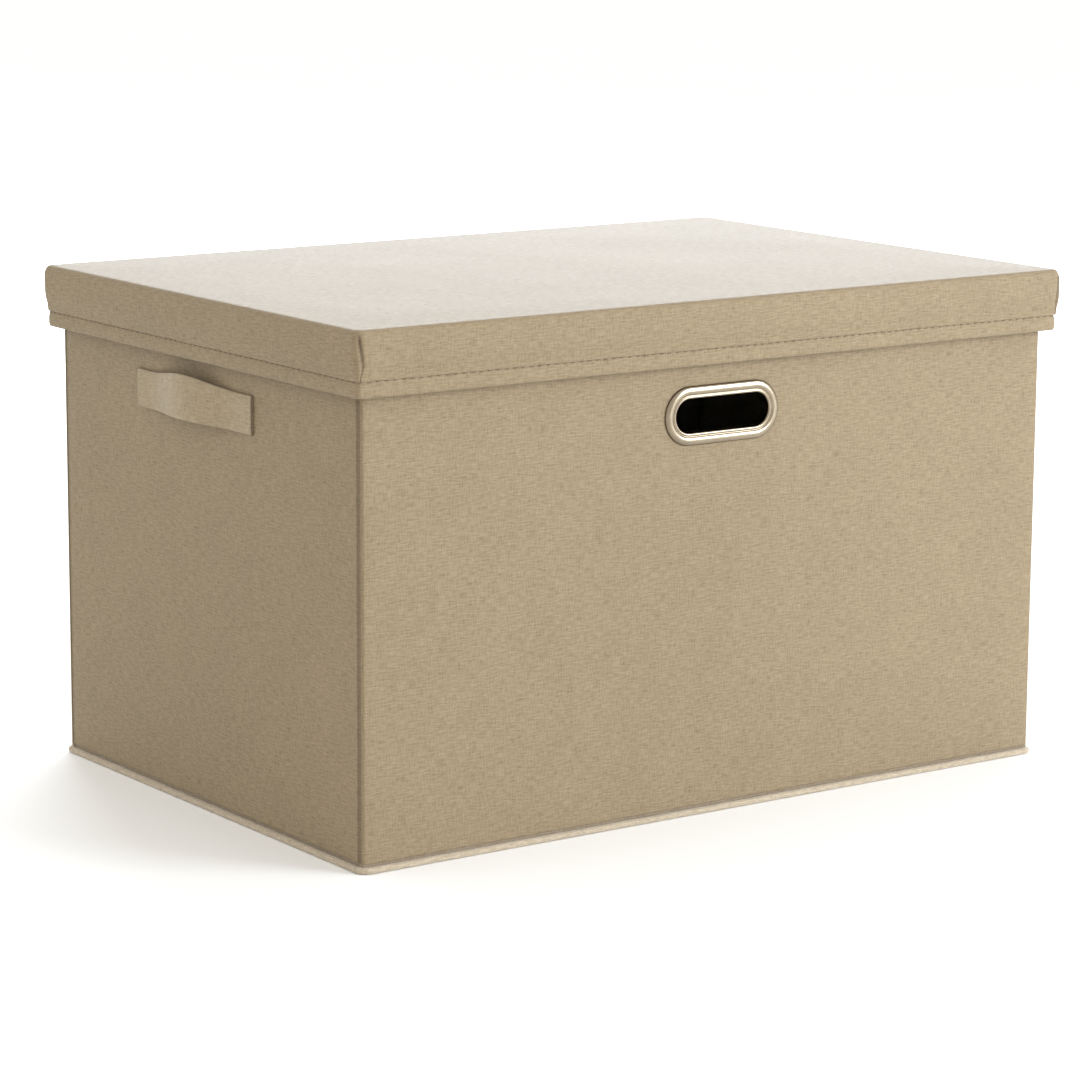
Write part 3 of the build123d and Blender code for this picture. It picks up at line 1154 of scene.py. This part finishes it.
# ---------------------------------------------------------------- bottom binding and base
@dataclass
class Base:
    """Piping round the bottom, the sewn base and the loose insert."""

    shell: Shell
    finishes: Finishes
    stitches: StitchTree
    lip_height: float = 3.9 * MM
    lip_out: float = 3.6 * MM
    lip_in: float = 1.6 * MM
    corner: float = 8.0 * MM
    web_depth: float = 0.7 * MM
    unevenness: float = 0.08
    # painted contact shadow on the seam allowance between the lip and the wall
    web_seam: float = 0.6
    end_gap: float = 0.05 * MM  # between the two halves of a short wall's piping, each side of the crease
    gather_keep: float = 0.015
    under_drop: float = 0.1 * MM
    stitch_sink: float = 0.2 * MM
    stitch_inset: float = 7 * MM

    def lip_section(self, path: Sequence[Vector], seed: float) -> Callable[[int], list[Pair]]:
        """The piping's outline at each point of its path, with a sewn unevenness."""
        half_wide = (self.lip_out + self.lip_in) / 2
        middle = (self.lip_out - self.lip_in) / 2

        def outline(i: int) -> list[Pair]:
            wave = rolling(path[i], 19 * MM, seed)
            ripple = rolling(path[i], 5 * MM, seed + 4)
            tall = self.lip_height / 2 * (1 - self.unevenness + self.unevenness * wave)
            wide = half_wide * (1 - self.unevenness + self.unevenness * ripple)
            return oval(wide, tall, (middle - 0.05 * half_wide, tall), 14, 2.5)

        return outline

    def web(self, name: str, wall: Wall, along: Pair) -> bpy.types.Object:
        """The seam allowance under a wall, painted with contact shadow above the lip."""
        shell = self.shell
        slab = Slab(
            axes=shell.face_axes(wall),
            along=along,
            up=(0.1 * MM, shell.panel_foot - 0.05 * MM),
            depth=(self.web_depth, shell.thickness - 0.1 * MM),
            side_round=0.3 * MM,
            top_round=0.3 * MM,
            foot_round=0.3 * MM,
            ripple=0.0,
            step=20 * MM,
        )
        piece = slab.build(name)
        mark_seams(piece.data, [self.web_seam] * len(piece.data.vertices))
        return piece

    def piping(self, wall: Wall, path: list[Vector], along: Pair, body: Body, seed: float) -> None:
        """One body's piping with the seam allowance under its wall, in one piece.

        Args:
            wall: the wall that it follows.
            path: the line that the lip follows.
            along: where the seam allowance starts and ends along the wall.
            body: the body that it rides on.
            seed: fixes its unevenness.
        """
        name, welt = f"{body.stem}_piping", f"{body.stem}_welt"
        lip = sweep(name, path, UP, self.lip_section(path, seed), closed=False)
        mark_seams(lip.data)
        joined = join(lip, self.web(f"{name}_web", wall, along))
        settle(joined, self.finishes.binding)
        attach(joined, body.value)
        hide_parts(welt)
        if body is not Body.BACK:
            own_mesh(joined)

    def long_path(self, wall: Wall) -> list[Vector]:
        """The piping line of a long wall, round both corners of the bin."""
        shell = self.shell
        axes = shell.face_axes(wall)
        reach, tail = shell.half_length, shell.thickness + 0.1 * MM
        r = self.corner - self.lip_out
        steps = 8
        points = [axes.point(-reach, 0, tail)]
        for k in range(steps + 1):
            angle = math.pi / 2 * k / steps
            points.append(axes.point(-reach + r - r * math.cos(angle), 0, r - r * math.sin(angle)))
        points += [axes.point(u, 0, 0) for u in np.linspace(-reach + r, reach - r, 120)[1:-1]]
        for k in range(steps + 1):
            angle = math.pi / 2 * (1 - k / steps)
            points.append(axes.point(reach - r + r * math.cos(angle), 0, r - r * math.sin(angle)))
        points.append(axes.point(reach, 0, tail))
        return points

    def short_path(self, wall: Wall, ends: Pair) -> list[Vector]:
        """The piping line of half a short wall."""
        axes = self.shell.face_axes(wall)
        return [axes.point(u, 0, 0) for u in np.linspace(*ends, 45)]

    def bindings(self) -> None:
        """The piping of all the walls."""
        shell = self.shell
        reach = shell.half_length - 0.2 * MM
        for wall, body, seed in ((Wall.FRONT, Body.FRONT, 2.0), (Wall.BACK, Body.BACK, 9.0)):
            self.piping(wall, self.long_path(wall), (-reach, reach), body, seed)
        inner = shell.half_depth - shell.thickness - 0.25 * MM
        near, far = (-inner, -self.end_gap), (self.end_gap, inner)
        for wall, ends, body, seed in (
            (Wall.LEFT, near, Body.LEFT_REAR, 13.0),
            (Wall.LEFT, far, Body.LEFT_FRONT, 17.0),
            (Wall.RIGHT, near, Body.RIGHT_FRONT, 21.0),
            (Wall.RIGHT, far, Body.RIGHT_REAR, 25.0),
        ):
            self.piping(wall, self.short_path(wall, ends), ends, body, seed)

    def flat_piece(self, name: str, nodes: Sequence[str], ripple: float, slot: Slot) -> None:
        """A level cloth piece that stands for some nodes.

        Args:
            name: the object's name.
            nodes: the nodes from the top one to the lowest one. The first gives the footprint.
            ripple: the height of its waves.
            slot: linen or lining.
        """
        low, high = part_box(nodes[0])
        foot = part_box(nodes[-1])[0].z
        thick = high.z - foot
        edge = min(0.45 * thick, 1.5 * MM)
        slab = Slab(
            axes=Axes(Vector((0, 0, high.z)), Vector((1, 0, 0)), Vector((0, 1, 0)), Vector((0, 0, -1))),
            along=(low.x, high.x),
            up=(low.y, high.y),
            depth=(0.0, thick),
            side_round=edge,
            top_round=edge,
            foot_round=edge,
            ripple=ripple,
            step=9 * MM,
            seed=high.z / MM,
        )
        piece = slab.build(name)
        settle(piece, self.finishes.linen if slot is Slot.LINEN else self.finishes.lining)
        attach(piece, Body.BACK.value)
        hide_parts(*nodes)

    def floor_pieces(self) -> None:
        """The sewn base, its lining, the insert's cloth and its row of stitches."""
        self.flat_piece("base_outer_cloth", ["base_cloth"], 0.0, Slot.LINEN)
        self.flat_piece("base_inner_cloth", ["base_lining"], 0.0, Slot.LINING)
        self.flat_piece("insert_cloth", ["insert_cover", "insert_backing"], 0.06 * MM, Slot.LINING)
        low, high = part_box("insert_cover")
        west, east = low.x + self.stitch_inset, high.x - self.stitch_inset
        south, north = low.y + self.stitch_inset, high.y - self.stitch_inset
        z = high.z - self.stitch_sink
        corners = ((west, south), (east, south), (east, north), (west, north), (west, south))
        line = [Vector((x, y, z)) for x, y in corners]
        sizes = {"Pitch": 4.5 * MM, "Thickness": 0.4 * MM, "Wander": 0.02}
        rows = self.stitches.sew("insert_stitching", line, self.finishes.pale_thread, 31, **sizes)
        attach(rows, Body.BACK.value)

    def build(self) -> None:
        """Makes the piping and the base."""
        self.bindings()
        self.floor_pieces()


def join(first: bpy.types.Object, second: bpy.types.Object) -> bpy.types.Object:
    """Puts a second mesh into the first piece."""
    work = bmesh.new()
    work.from_mesh(first.data)
    work.from_mesh(second.data)
    work.to_mesh(first.data)
    work.free()
    bpy.data.objects.remove(second)
    return first


# ---------------------------------------------------------------- strap handles
@dataclass
class Straps:
    """Cloth straps on the short walls. Each is two halves that meet at the crease."""

    shell: Shell
    finishes: Finishes
    stitches: StitchTree
    sewn: float = 16 * MM
    thickness: float = 2.3 * MM
    middle_widening: float = 2.0 * MM
    middle_rise: float = 2.9 * MM
    middle_wave: float = 0.3 * MM
    # painted shade on the strap's cut end
    tip_seam: float = 0.45
    tack_inset: float = 2.6 * MM
    folded_share: float = 0.02

    def looseness(self, distance: float, end: float) -> float:
        """How loose the strap is at this distance from its middle: 1 in the middle, 0 where it is sewn."""
        return 1 - smooth_step(min(1.0, abs(distance) / (end - self.sewn)))

    def half(self, wall: Wall, way: int, body: Body) -> None:
        """Part of a strap, from the crease to one sewn end, with its stitches.

        Args:
            wall: the short wall.
            way: 1 for the part towards the wall's positive direction, -1 for the other.
            body: the half wall that carries it.
        """
        node = f"{wall.label}_strap"
        low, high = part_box(node)
        end = (high.y - low.y) / 2
        bulge = (high.x - low.x) - self.thickness
        level, half_tall = (low.z + high.z) / 2, (high.z - low.z) / 2
        axes = self.shell.face_axes(wall)
        middle = axes.along.y * (low.y + high.y) / 2
        places = np.linspace(0.0, middle + way * end, 49)
        loose = [self.looseness(u - middle, end) for u in places]
        lift_off = 0.03 * MM
        path = [
            axes.point(u, level, -bulge * free - self.thickness / 2 + lift_off)
            for u, free in zip(places, loose)
        ]

        def outline(i: int) -> list[Pair]:
            free = loose[i]
            wide = half_tall + self.middle_widening * free
            thin = self.thickness / 2 * (0.88 + 0.12 * free)
            wave = self.middle_wave * free * rolling((places[i], 0, 0), 20 * MM, 2.0 + level)
            rise = self.middle_rise * free + wave
            return [(s, t + rise) for s, t in oval(thin, wide, (0, 0), 28, 5.0)]

        piece = sweep(f"{node}_{body.part}", path, UP, outline, closed=False)
        tip = places[-1]
        # paints shade on the end cap
        ways = [(vertex.co - axes.origin).dot(axes.along) for vertex in piece.data.vertices]
        mark_seams(piece.data, [self.tip_seam if abs(u - tip) < 0.1 * MM else 0.0 for u in ways])
        settle(piece, self.finishes.strap)
        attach(piece, body.value)
        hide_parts(node)
        face = axes.point(0, level, 0)
        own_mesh(piece)

        inset = self.tack_inset
        out = -self.thickness * 0.94 + 0.05 * MM
        near, far = tip - way * (self.sewn - inset), tip - way * inset
        top, bottom = level + half_tall - inset, level - half_tall + inset
        corners = ((near, bottom), (far, bottom), (far, top), (near, top), (near, bottom))
        line = [axes.point(u, v, out) for u, v in corners]
        sizes = {"Pitch": 3.2 * MM, "Length": 2.1 * MM, "Thickness": 0.4 * MM}
        rows = self.stitches.sew(f"{node}_tack_{body.part}", line, self.finishes.pale_thread, 41, **sizes)
        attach(rows, body.value)
        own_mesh(rows)

    def build(self) -> None:
        """Makes both straps."""
        for wall, way, body in (
            (Wall.LEFT, -1, Body.LEFT_REAR),
            (Wall.LEFT, 1, Body.LEFT_FRONT),
            (Wall.RIGHT, 1, Body.RIGHT_REAR),
            (Wall.RIGHT, -1, Body.RIGHT_FRONT),
        ):
            self.half(wall, way, body)


# ---------------------------------------------------------------- hand hole
@dataclass
class Grommet:
    """The pressed metal ring of the hand hole, with its rolled edge, seated against the washer behind."""

    finishes: Finishes
    grime_height: float = 1.5 * MM
    grime_share: float = 0.85
    flange: float = 7.4 * MM
    rim_height: float = 2.2 * MM

    def grime(self, piece: bpy.types.Object, wall_face: float) -> None:
        """Paints shade on the ring's outer foot, where it presses into the cloth."""
        heights = [(wall_face - vertex.co.y) / self.grime_height for vertex in piece.data.vertices]
        darkness = [self.grime_share * max(0.0, 1.0 - height) if height > -0.1 else 0.0 for height in heights]
        mark_seams(piece.data, darkness)

    def build(self) -> None:
        """Makes the ring."""
        low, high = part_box("grommet_ring")
        _, washer_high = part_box("grommet_washer")
        middle = (low + high) / 2
        hole_wide, hole_tall = (high.x - low.x) / 2 - self.flange, (high.z - low.z) / 2 - self.flange
        wall_face = low.y + self.rim_height
        back = high.y - wall_face
        seat = washer_high.y - wall_face
        knots = [
            (7.35, -0.05),
            (7.45, 0.55),
            (7.0, 1.35),
            (5.9, 1.95),
            (4.5, 2.2),
            (3.1, 2.0),
            (2.35, 1.5),
            (1.95, 1.42),
            (1.35, 1.72),
            (0.6, 1.62),
            (0.1, 1.0),
            (0.0, 0.0),
            (0.0, -2.5),
            (0.0, -4.6),
        ]
        outline = [(r * MM, h * MM) for r, h in smooth_loop(knots, 3, closed=False)]
        outline += [(0.0, -back + 0.5 * MM), (0.25 * MM, -back)]
        outline += [(2.2 * MM, -back), (2.55 * MM, -back + 0.25 * MM)]
        outline += [(2.55 * MM, -seat - 0.02 * MM), (1.0 * MM, -seat - 0.02 * MM), (1.0 * MM, -0.05 * MM)]
        edge = stadium(hole_wide, hole_tall, 20, 6)
        path = [Vector((middle.x + x, wall_face, middle.z + z)) for x, z in edge]
        piece = sweep("hand_hole_ring", path, Vector((0, -1, 0)), outline, closed=True)
        self.grime(piece, wall_face)
        settle(piece, self.finishes.nickel, weave=False)
        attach(piece, Body.FRONT.value)
        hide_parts("grommet_ring")


# ---------------------------------------------------------------- lid
@dataclass(frozen=True)
class Level:
    """One level of a tray: how far it is inside the widest outline, its height and its corner radius."""

    inset: float
    z: float
    radius: float


@dataclass
class TrayShape:
    """A tray with soft edges that opens downwards: rings from its foot to its top, and a grid over it."""

    half_x: float
    half_y: float
    levels: Sequence[Level]
    long_step: float = 6.5 * MM
    corner_steps: int = 16
    band: float = 8 * MM
    fine_step: float = 0.7 * MM
    relief: Callable[[Vector, float, float], tuple[float, float]] | None = None
    crown: float = 0.0
    seed: float = 4.0

    def shares(self, half: float, fine: bool) -> np.ndarray:
        """Places along one straight side, as shares of half its length."""
        coarse = np.linspace(-half + self.band, half - self.band, math.ceil(2 * half / self.long_step))
        step = self.fine_step if fine else 2.5 * MM
        near = np.arange(0.0, self.band, step)
        return np.concatenate([-half + near, coarse, half - near[::-1]]) / half

    def ring(self, level: Level) -> tuple[list[Vector], list[Vector], list[float]]:
        """The points of one level, the way each faces, and its place round the nearest corner.

        The place is 0 where a corner leaves a short side and 1 where it meets a long side. It goes on
        below 0 and above 1 along the sides, in the same measure.
        """
        xs, ys = self.shares(self.half_x, False), self.shares(self.half_y, True)
        radius = level.radius
        far_x, far_y = self.half_x - level.inset, self.half_y - level.inset
        arc = math.pi / 2 * max(entry.radius for entry in self.levels)
        points, facing, around = [], [], []
        for turn in range(4):
            angle = turn * math.pi / 2
            along = Vector((math.cos(angle), math.sin(angle), 0))
            out = Vector((math.sin(angle), -math.cos(angle), 0))
            is_long = turn % 2 == 0
            places, reach, far = (xs, far_x, far_y) if is_long else (ys, far_y, far_x)
            straight = reach - radius
            for share in places:
                points.append(along * (share * straight) + out * far)
                facing.append(out)
                past = straight * (1 - abs(share)) / arc
                around.append(1 + past if is_long else -past)
            centre = along * straight + out * (far - radius)
            for k in range(1, self.corner_steps):
                share = k / self.corner_steps
                way = out * math.cos(math.pi / 2 * share) + along * math.sin(math.pi / 2 * share)
                points.append(centre + way * radius)
                facing.append(way)
                around.append(1 - share if is_long else share)
        return [Vector((p.x, p.y, level.z)) for p in points], facing, around

    def build(self, name: str) -> bpy.types.Object:
        """Makes the tray's outer surface, open at its foot.

        Args:
            name: the object's name.

        Returns:
            The object, with the painted shade from its relief as a point attribute.
        """
        points: list[Vector] = []
        seam_shade: list[float] = []
        size = 0
        for level in self.levels:
            ring, facing, around = self.ring(level)
            size = len(ring)
            for point, out, corner in zip(ring, facing, around):
                # the relief gives each point its push and its painted shade
                push, seam = self.relief(point, level.z, corner) if self.relief else (0.0, 0.0)
                points.append(point + out * push)
                seam_shade.append(seam)
        faces = []
        for row in range(len(self.levels) - 1):
            for k in range(size):
                a, b = row * size + k, row * size + (k + 1) % size
                faces.append((a, b, b + size, a + size))
        last = self.levels[-1]
        xs = self.shares(self.half_x, False) * (self.half_x - last.inset)
        ys = self.shares(self.half_y, True) * (self.half_y - last.inset)
        first = len(points)
        for x in xs:
            for y in ys:
                inside = min(self.half_x - abs(x), self.half_y - abs(y)) - last.inset
                calm = calmed(inside, 30 * MM)
                wave = 0.45 * MM * rolling((x, y, 0), 90 * MM, self.seed)
                points.append(Vector((x, y, last.z + calm * (self.crown + wave))))
                seam_shade.append(0.0)
        for i in range(len(xs) - 1):
            for j in range(len(ys) - 1):
                a = first + i * len(ys) + j
                faces.append((a, a + len(ys), a + len(ys) + 1, a + 1))
        piece = mesh_object(name, points, faces, seam_shade)
        highest = max(piece.data.polygons, key=lambda polygon: polygon.center.z)
        if highest.normal.z < 0:
            piece.data.flip_normals()
        return piece


def thicken(piece: bpy.types.Object, thickness: float) -> None:
    """Gives an open surface its cloth thickness, inwards."""
    solid = piece.modifiers.new("cloth", "SOLIDIFY")
    solid.thickness = thickness
    solid.offset = -1.0
    solid.use_even_offset = False
    baked(piece)


@dataclass
class Lid:
    """The lid's cloth, lining, hem and stitching."""

    finishes: Finishes
    stitches: StitchTree
    puff: float = 0.35 * MM
    top_round: float = 3.4 * MM
    corner: float = 6.3 * MM
    foot_corner: float = 2.4 * MM
    foot_height: float = 7.5 * MM
    foot_tuck: float = 1.9 * MM
    foot_lap: float = 1.6 * MM
    slit_top: float = 0.55
    slit_foot: float = 0.83
    slit_half_width: float = 0.8 * MM
    slit_depth: float = 1.0 * MM
    side_swell: float = 0.75 * MM
    stitch_height: float = 9.0 * MM
    hem_corner: float = 1.8 * MM

    def __post_init__(self) -> None:
        """Reads the lid's place from the model."""
        self.low, self.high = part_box("lid_cover")
        self.hem_low, self.hem_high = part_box("lid_hem")
        self.lining_low, self.lining_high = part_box("lid_lining")

    def skirt_relief(self, point: Vector, z: float, corner: float) -> tuple[float, float]:
        """Swelling of the skirts, and the slits where the side cloth meets the corner's wrapped cloth.

        Args:
            point: a point of the skirt.
            z: its height.
            corner: its place round the nearest corner, 0 at the short side and 1 at the long side.

        Returns:
            How far the point moves outwards, and how much painted shade it gets in a slit, from 0 to 1.
        """
        foot, top = self.low.z + self.foot_height * 0.6, self.high.z - 0.5 * self.top_round
        share = calmed(z - foot, top - foot)
        body = math.sin(math.pi * share)
        push = 0.3 * MM * body + 0.22 * MM * body * rolling(point, 32 * MM, 6.0)
        arc = math.pi / 2 * self.corner
        off = (corner - (self.slit_foot + (self.slit_top - self.slit_foot) * share)) * arc
        opening = calmed(1.0 - share, 0.14) * calmed(0.6 + 4 * share, 1.0)
        groove = math.exp(-((off / self.slit_half_width) ** 2)) * opening
        push -= self.slit_depth * groove
        if off < 0:
            rise = math.exp(-(((off + 2.2 * MM) / (1.9 * MM)) ** 2))
            push += self.side_swell * rise * opening
        # painted shade in the slit, darker towards the top of the skirt
        return push, min(1.0, 1.4 * groove) * (0.5 + 0.5 * share * share)

    def cover(self) -> None:
        """The outer cloth of the top and the skirts."""
        foot, top = self.low.z, self.high.z + self.puff
        half_x, half_y = self.high.x + self.puff, self.high.y + self.puff
        r = self.top_round
        levels = [
            Level(self.foot_tuck + 0.7 * MM, foot - self.foot_lap + 0.1 * MM, self.foot_corner),
            Level(self.foot_tuck + 0.2 * MM, foot - self.foot_lap, self.foot_corner),
            Level(self.foot_tuck, foot - 0.8 * self.foot_lap, self.foot_corner),
            Level(0.96 * self.foot_tuck, foot, self.foot_corner),
        ]
        for share in (0.2, 0.4, 0.6, 0.8, 1.0):
            bend = smooth_step(share) * 0.4 + share * 0.6
            radius = self.foot_corner + (self.corner - self.foot_corner) * bend
            levels.append(Level(0.96 * self.foot_tuck * (1 - bend), foot + share * self.foot_height, radius))
        for z in np.linspace(foot + self.foot_height, top - r, 8)[1:]:
            levels.append(Level(0.0, float(z), self.corner))
        for k in range(1, 9):
            angle = math.pi / 2 * k / 8
            inset = r * (1 - math.cos(angle))
            levels.append(Level(inset, top - r + r * math.sin(angle), self.corner - inset))
        levels.append(Level(self.corner, top + 0.02 * MM, 0.55 * (self.corner - r)))
        levels.append(Level(1.6 * self.corner, top + 0.03 * MM, 0.0))
        shape = TrayShape(half_x, half_y, levels, relief=self.skirt_relief, crown=0.4 * MM)
        piece = shape.build("lid_cloth")
        thicken(piece, 0.8 * MM)
        settle(piece, self.finishes.linen)
        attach(piece, Body.LID.value)
        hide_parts("lid_cover")

    def lining(self) -> None:
        """The inner cloth of the top and the skirts."""
        low, high = self.lining_low, self.lining_high
        inner_x, inner_y = high.x - 0.02 * MM, high.y - 0.02 * MM
        top = high.z - 0.02 * MM
        levels = [Level(0.0, float(z), 0.5 * MM) for z in np.linspace(low.z, top - 1.5 * MM, 5)]
        levels += [
            Level(0.15 * MM, top - 0.8 * MM, 0.4 * MM),
            Level(0.6 * MM, top - 0.2 * MM, 0.2 * MM),
            Level(1.5 * MM, top, 0.0),
        ]
        steps = {"long_step": 14 * MM, "fine_step": 3 * MM, "corner_steps": 4}
        shape = TrayShape(inner_x, inner_y, levels, seed=8.0, **steps)
        piece = shape.build("lid_inner_cloth")
        for vertex in piece.data.vertices:
            vertex.co.z = min(vertex.co.z, top)
        thicken(piece, 0.7 * MM)
        settle(piece, self.finishes.lining)
        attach(piece, Body.LID.value)
        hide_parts("lid_lining")

    def hem_path(self, inside: float, height: float, corner: float) -> list[Vector]:
        """A closed line round the hem, this far inside its outer face."""
        half_x = self.hem_high.x - inside
        half_y = self.hem_high.y - inside
        points = []
        for turn in range(4):
            angle = turn * math.pi / 2
            along = Vector((math.cos(angle), math.sin(angle), 0))
            way = Vector((math.sin(angle), -math.cos(angle), 0))
            reach, far = (half_x, half_y) if turn % 2 == 0 else (half_y, half_x)
            for share in np.linspace(-1, 1, 80 if turn % 2 == 0 else 56):
                points.append(along * (share * (reach - corner)) + way * far + UP * height)
            for k in range(1, 6):
                swing = math.pi / 2 * k / 6
                spot = along * (reach - corner) + way * (far - corner)
                spot += (way * math.cos(swing) + along * math.sin(swing)) * corner
                points.append(spot + UP * height)
        return points

    def hem(self) -> None:
        """The doubled band round the skirt's foot."""
        thick = 2.0 * MM
        path = self.hem_path(thick / 2, 0.0, self.hem_corner)
        low = self.hem_low.z
        seam = low + self.stitch_height

        def outline(i: int) -> list[Pair]:
            wave = 0.18 * MM * rolling(path[i], 28 * MM, 3.0)
            sag = 0.25 * MM * rolling(path[i], 55 * MM, 12.0)
            face = thick / 2
            return [
                (-face, low + 0.7 * MM + sag),
                (-face / 2, low + 0.1 * MM + sag),
                (face / 2, low + 0.05 * MM + sag),
                (face + wave, low + 0.8 * MM + sag),
                (face + 0.25 * MM + wave, low + 0.3 * self.stitch_height),
                (face + 0.22 * MM + wave, low + 0.6 * self.stitch_height),
                (face - 0.1 * MM, seam - 0.9 * MM),
                (face - 0.5 * MM, seam - 0.1 * MM),
                (face - 0.45 * MM, seam + 0.8 * MM),
                (face - 0.4 * MM, self.hem_high.z - 0.2 * MM),
                (-face, self.hem_high.z - 0.2 * MM),
            ]

        piece = sweep("lid_hem_band", path, UP, outline, closed=True)
        settle(piece, self.finishes.linen)
        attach(piece, Body.LID.value)
        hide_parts("lid_hem")

    def hem_stitches(self) -> None:
        """The row of stitches along the top of the hem."""
        line = self.hem_path(0.2 * MM, self.hem_low.z + self.stitch_height - 0.1 * MM, self.hem_corner)
        line.append(line[0])
        sizes = {"Pitch": 5.6 * MM, "Length": 3.0 * MM, "Thickness": 0.55 * MM}
        piece = self.stitches.sew("lid_hem_stitching", line, self.finishes.thread, 5, **sizes)
        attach(piece, Body.LID.value)

    def build(self) -> None:
        """Makes the lid."""
        self.cover()
        self.lining()
        self.hem()
        self.hem_stitches()


# ---------------------------------------------------------------- carried-over nodes
def dress_nodes(finishes: Finishes) -> None:
    """Gives the model's own boards and washer their finishes."""
    looks = {Slot.GREYBOARD.value: finishes.board, Slot.NICKEL.value: finishes.nickel}
    for row in frame["record"]["subparts"]:
        look = looks.get(row["material_slot"])
        if look is None:
            continue
        node = frame["nodes"][row["node"]]
        if not node.material_slots:
            node.data.materials.append(look)
        for slot in node.material_slots:
            slot.material = look


# ---------------------------------------------------------------- studio
@dataclass(frozen=True)
class Lamp:
    """One soft area light."""

    name: str
    place: Triple
    size: Pair
    power: float
    colour: Colour
    aim: Triple

    def build(self) -> None:
        """Puts the light into the scene."""
        data = bpy.data.lights.new(self.name, "AREA")
        data.shape = "RECTANGLE"
        data.size, data.size_y = self.size
        data.energy = self.power
        data.color = self.colour
        light = bpy.data.objects.new(self.name, data)
        light.location = self.place
        light.rotation_mode = "QUATERNION"
        light.rotation_quaternion = (Vector(self.aim) - Vector(self.place)).to_track_quat("-Z", "Y")
        bpy.context.scene.collection.objects.link(light)


@dataclass
class Studio:
    """Floor, lights and camera."""

    azimuth: float = -35.28
    elevation: float = 10.99
    distance: float = 2.339
    roll: float = 0.318
    lens: float = 127.0
    target: Triple = (-0.0084, 0.0, 0.135)
    sky_strength: float = 1.13
    sky_colour: Colour = (1.0, 0.985, 0.95)
    floor_half: float = 60.0
    lamps: tuple[Lamp, ...] = (
        Lamp("key", (1.5, -2.0, 0.8), (1.2, 1.2), 58, (0.86, 0.92, 1.0), (0, 0, 0.15)),
        Lamp("low_back", (1.75, 2.4, 0.85), (2.6, 0.9), 132, (0.83, 0.91, 1.0), (0, 0, 0.3)),
    )

    def floor(self) -> None:
        """A pale floor that fills the view."""
        h = self.floor_half
        floor = mesh_object("studio_floor", [(-h, -h, 0), (h, -h, 0), (h, h, 0), (-h, h, 0)], [(0, 1, 2, 3)])
        floor.data.materials.append(FloorFinish("pale_floor", (0.93, 0.93, 0.925)).material())

    def lights(self) -> None:
        """Soft light from the front right, from low behind on the right, and all round."""
        world = bpy.data.worlds.new("studio")
        world.use_nodes = True
        sky = world.node_tree.nodes["Background"]
        sky.inputs["Color"].default_value = rgba(self.sky_colour)
        sky.inputs["Strength"].default_value = self.sky_strength
        bpy.context.scene.world = world
        for lamp in self.lamps:
            lamp.build()

    def camera(self) -> None:
        """The camera, level but for a slight roll."""
        a, e = math.radians(self.azimuth), math.radians(self.elevation)
        back = Vector((math.sin(a) * math.cos(e), -math.cos(a) * math.cos(e), math.sin(e)))
        data = bpy.data.cameras.new("camera")
        data.lens = self.lens
        data.sensor_width = 36.0
        data.clip_end = 500.0
        eye = bpy.data.objects.new("camera", data)
        eye.location = Vector(self.target) + back * self.distance
        eye.rotation_mode = "QUATERNION"
        turn = Quaternion((0, 0, 1), math.radians(self.roll))
        eye.rotation_quaternion = (-back).to_track_quat("-Z", "Y") @ turn
        bpy.context.scene.collection.objects.link(eye)
        bpy.context.scene.camera = eye

    def build(self) -> None:
        """Sets up the studio."""
        bpy.context.scene.view_settings.view_transform = "Standard"
        self.camera()
        self.floor()
        self.lights()


def main() -> None:
    """Builds everything in order."""
    logging.basicConfig(level=logging.INFO, format="%(name)s: %(message)s")
    Studio().build()
    finishes = Finishes.made()
    stitches = StitchTree()
    shell = Shell()
    dress_nodes(finishes)
    WallCloth(shell, finishes, stitches).build()
    Base(shell, finishes, stitches).build()
    Straps(shell, finishes, stitches).build()
    Grommet(finishes).build()
    Lid(finishes, stitches).build()


if __name__ == "__main__":
    main()
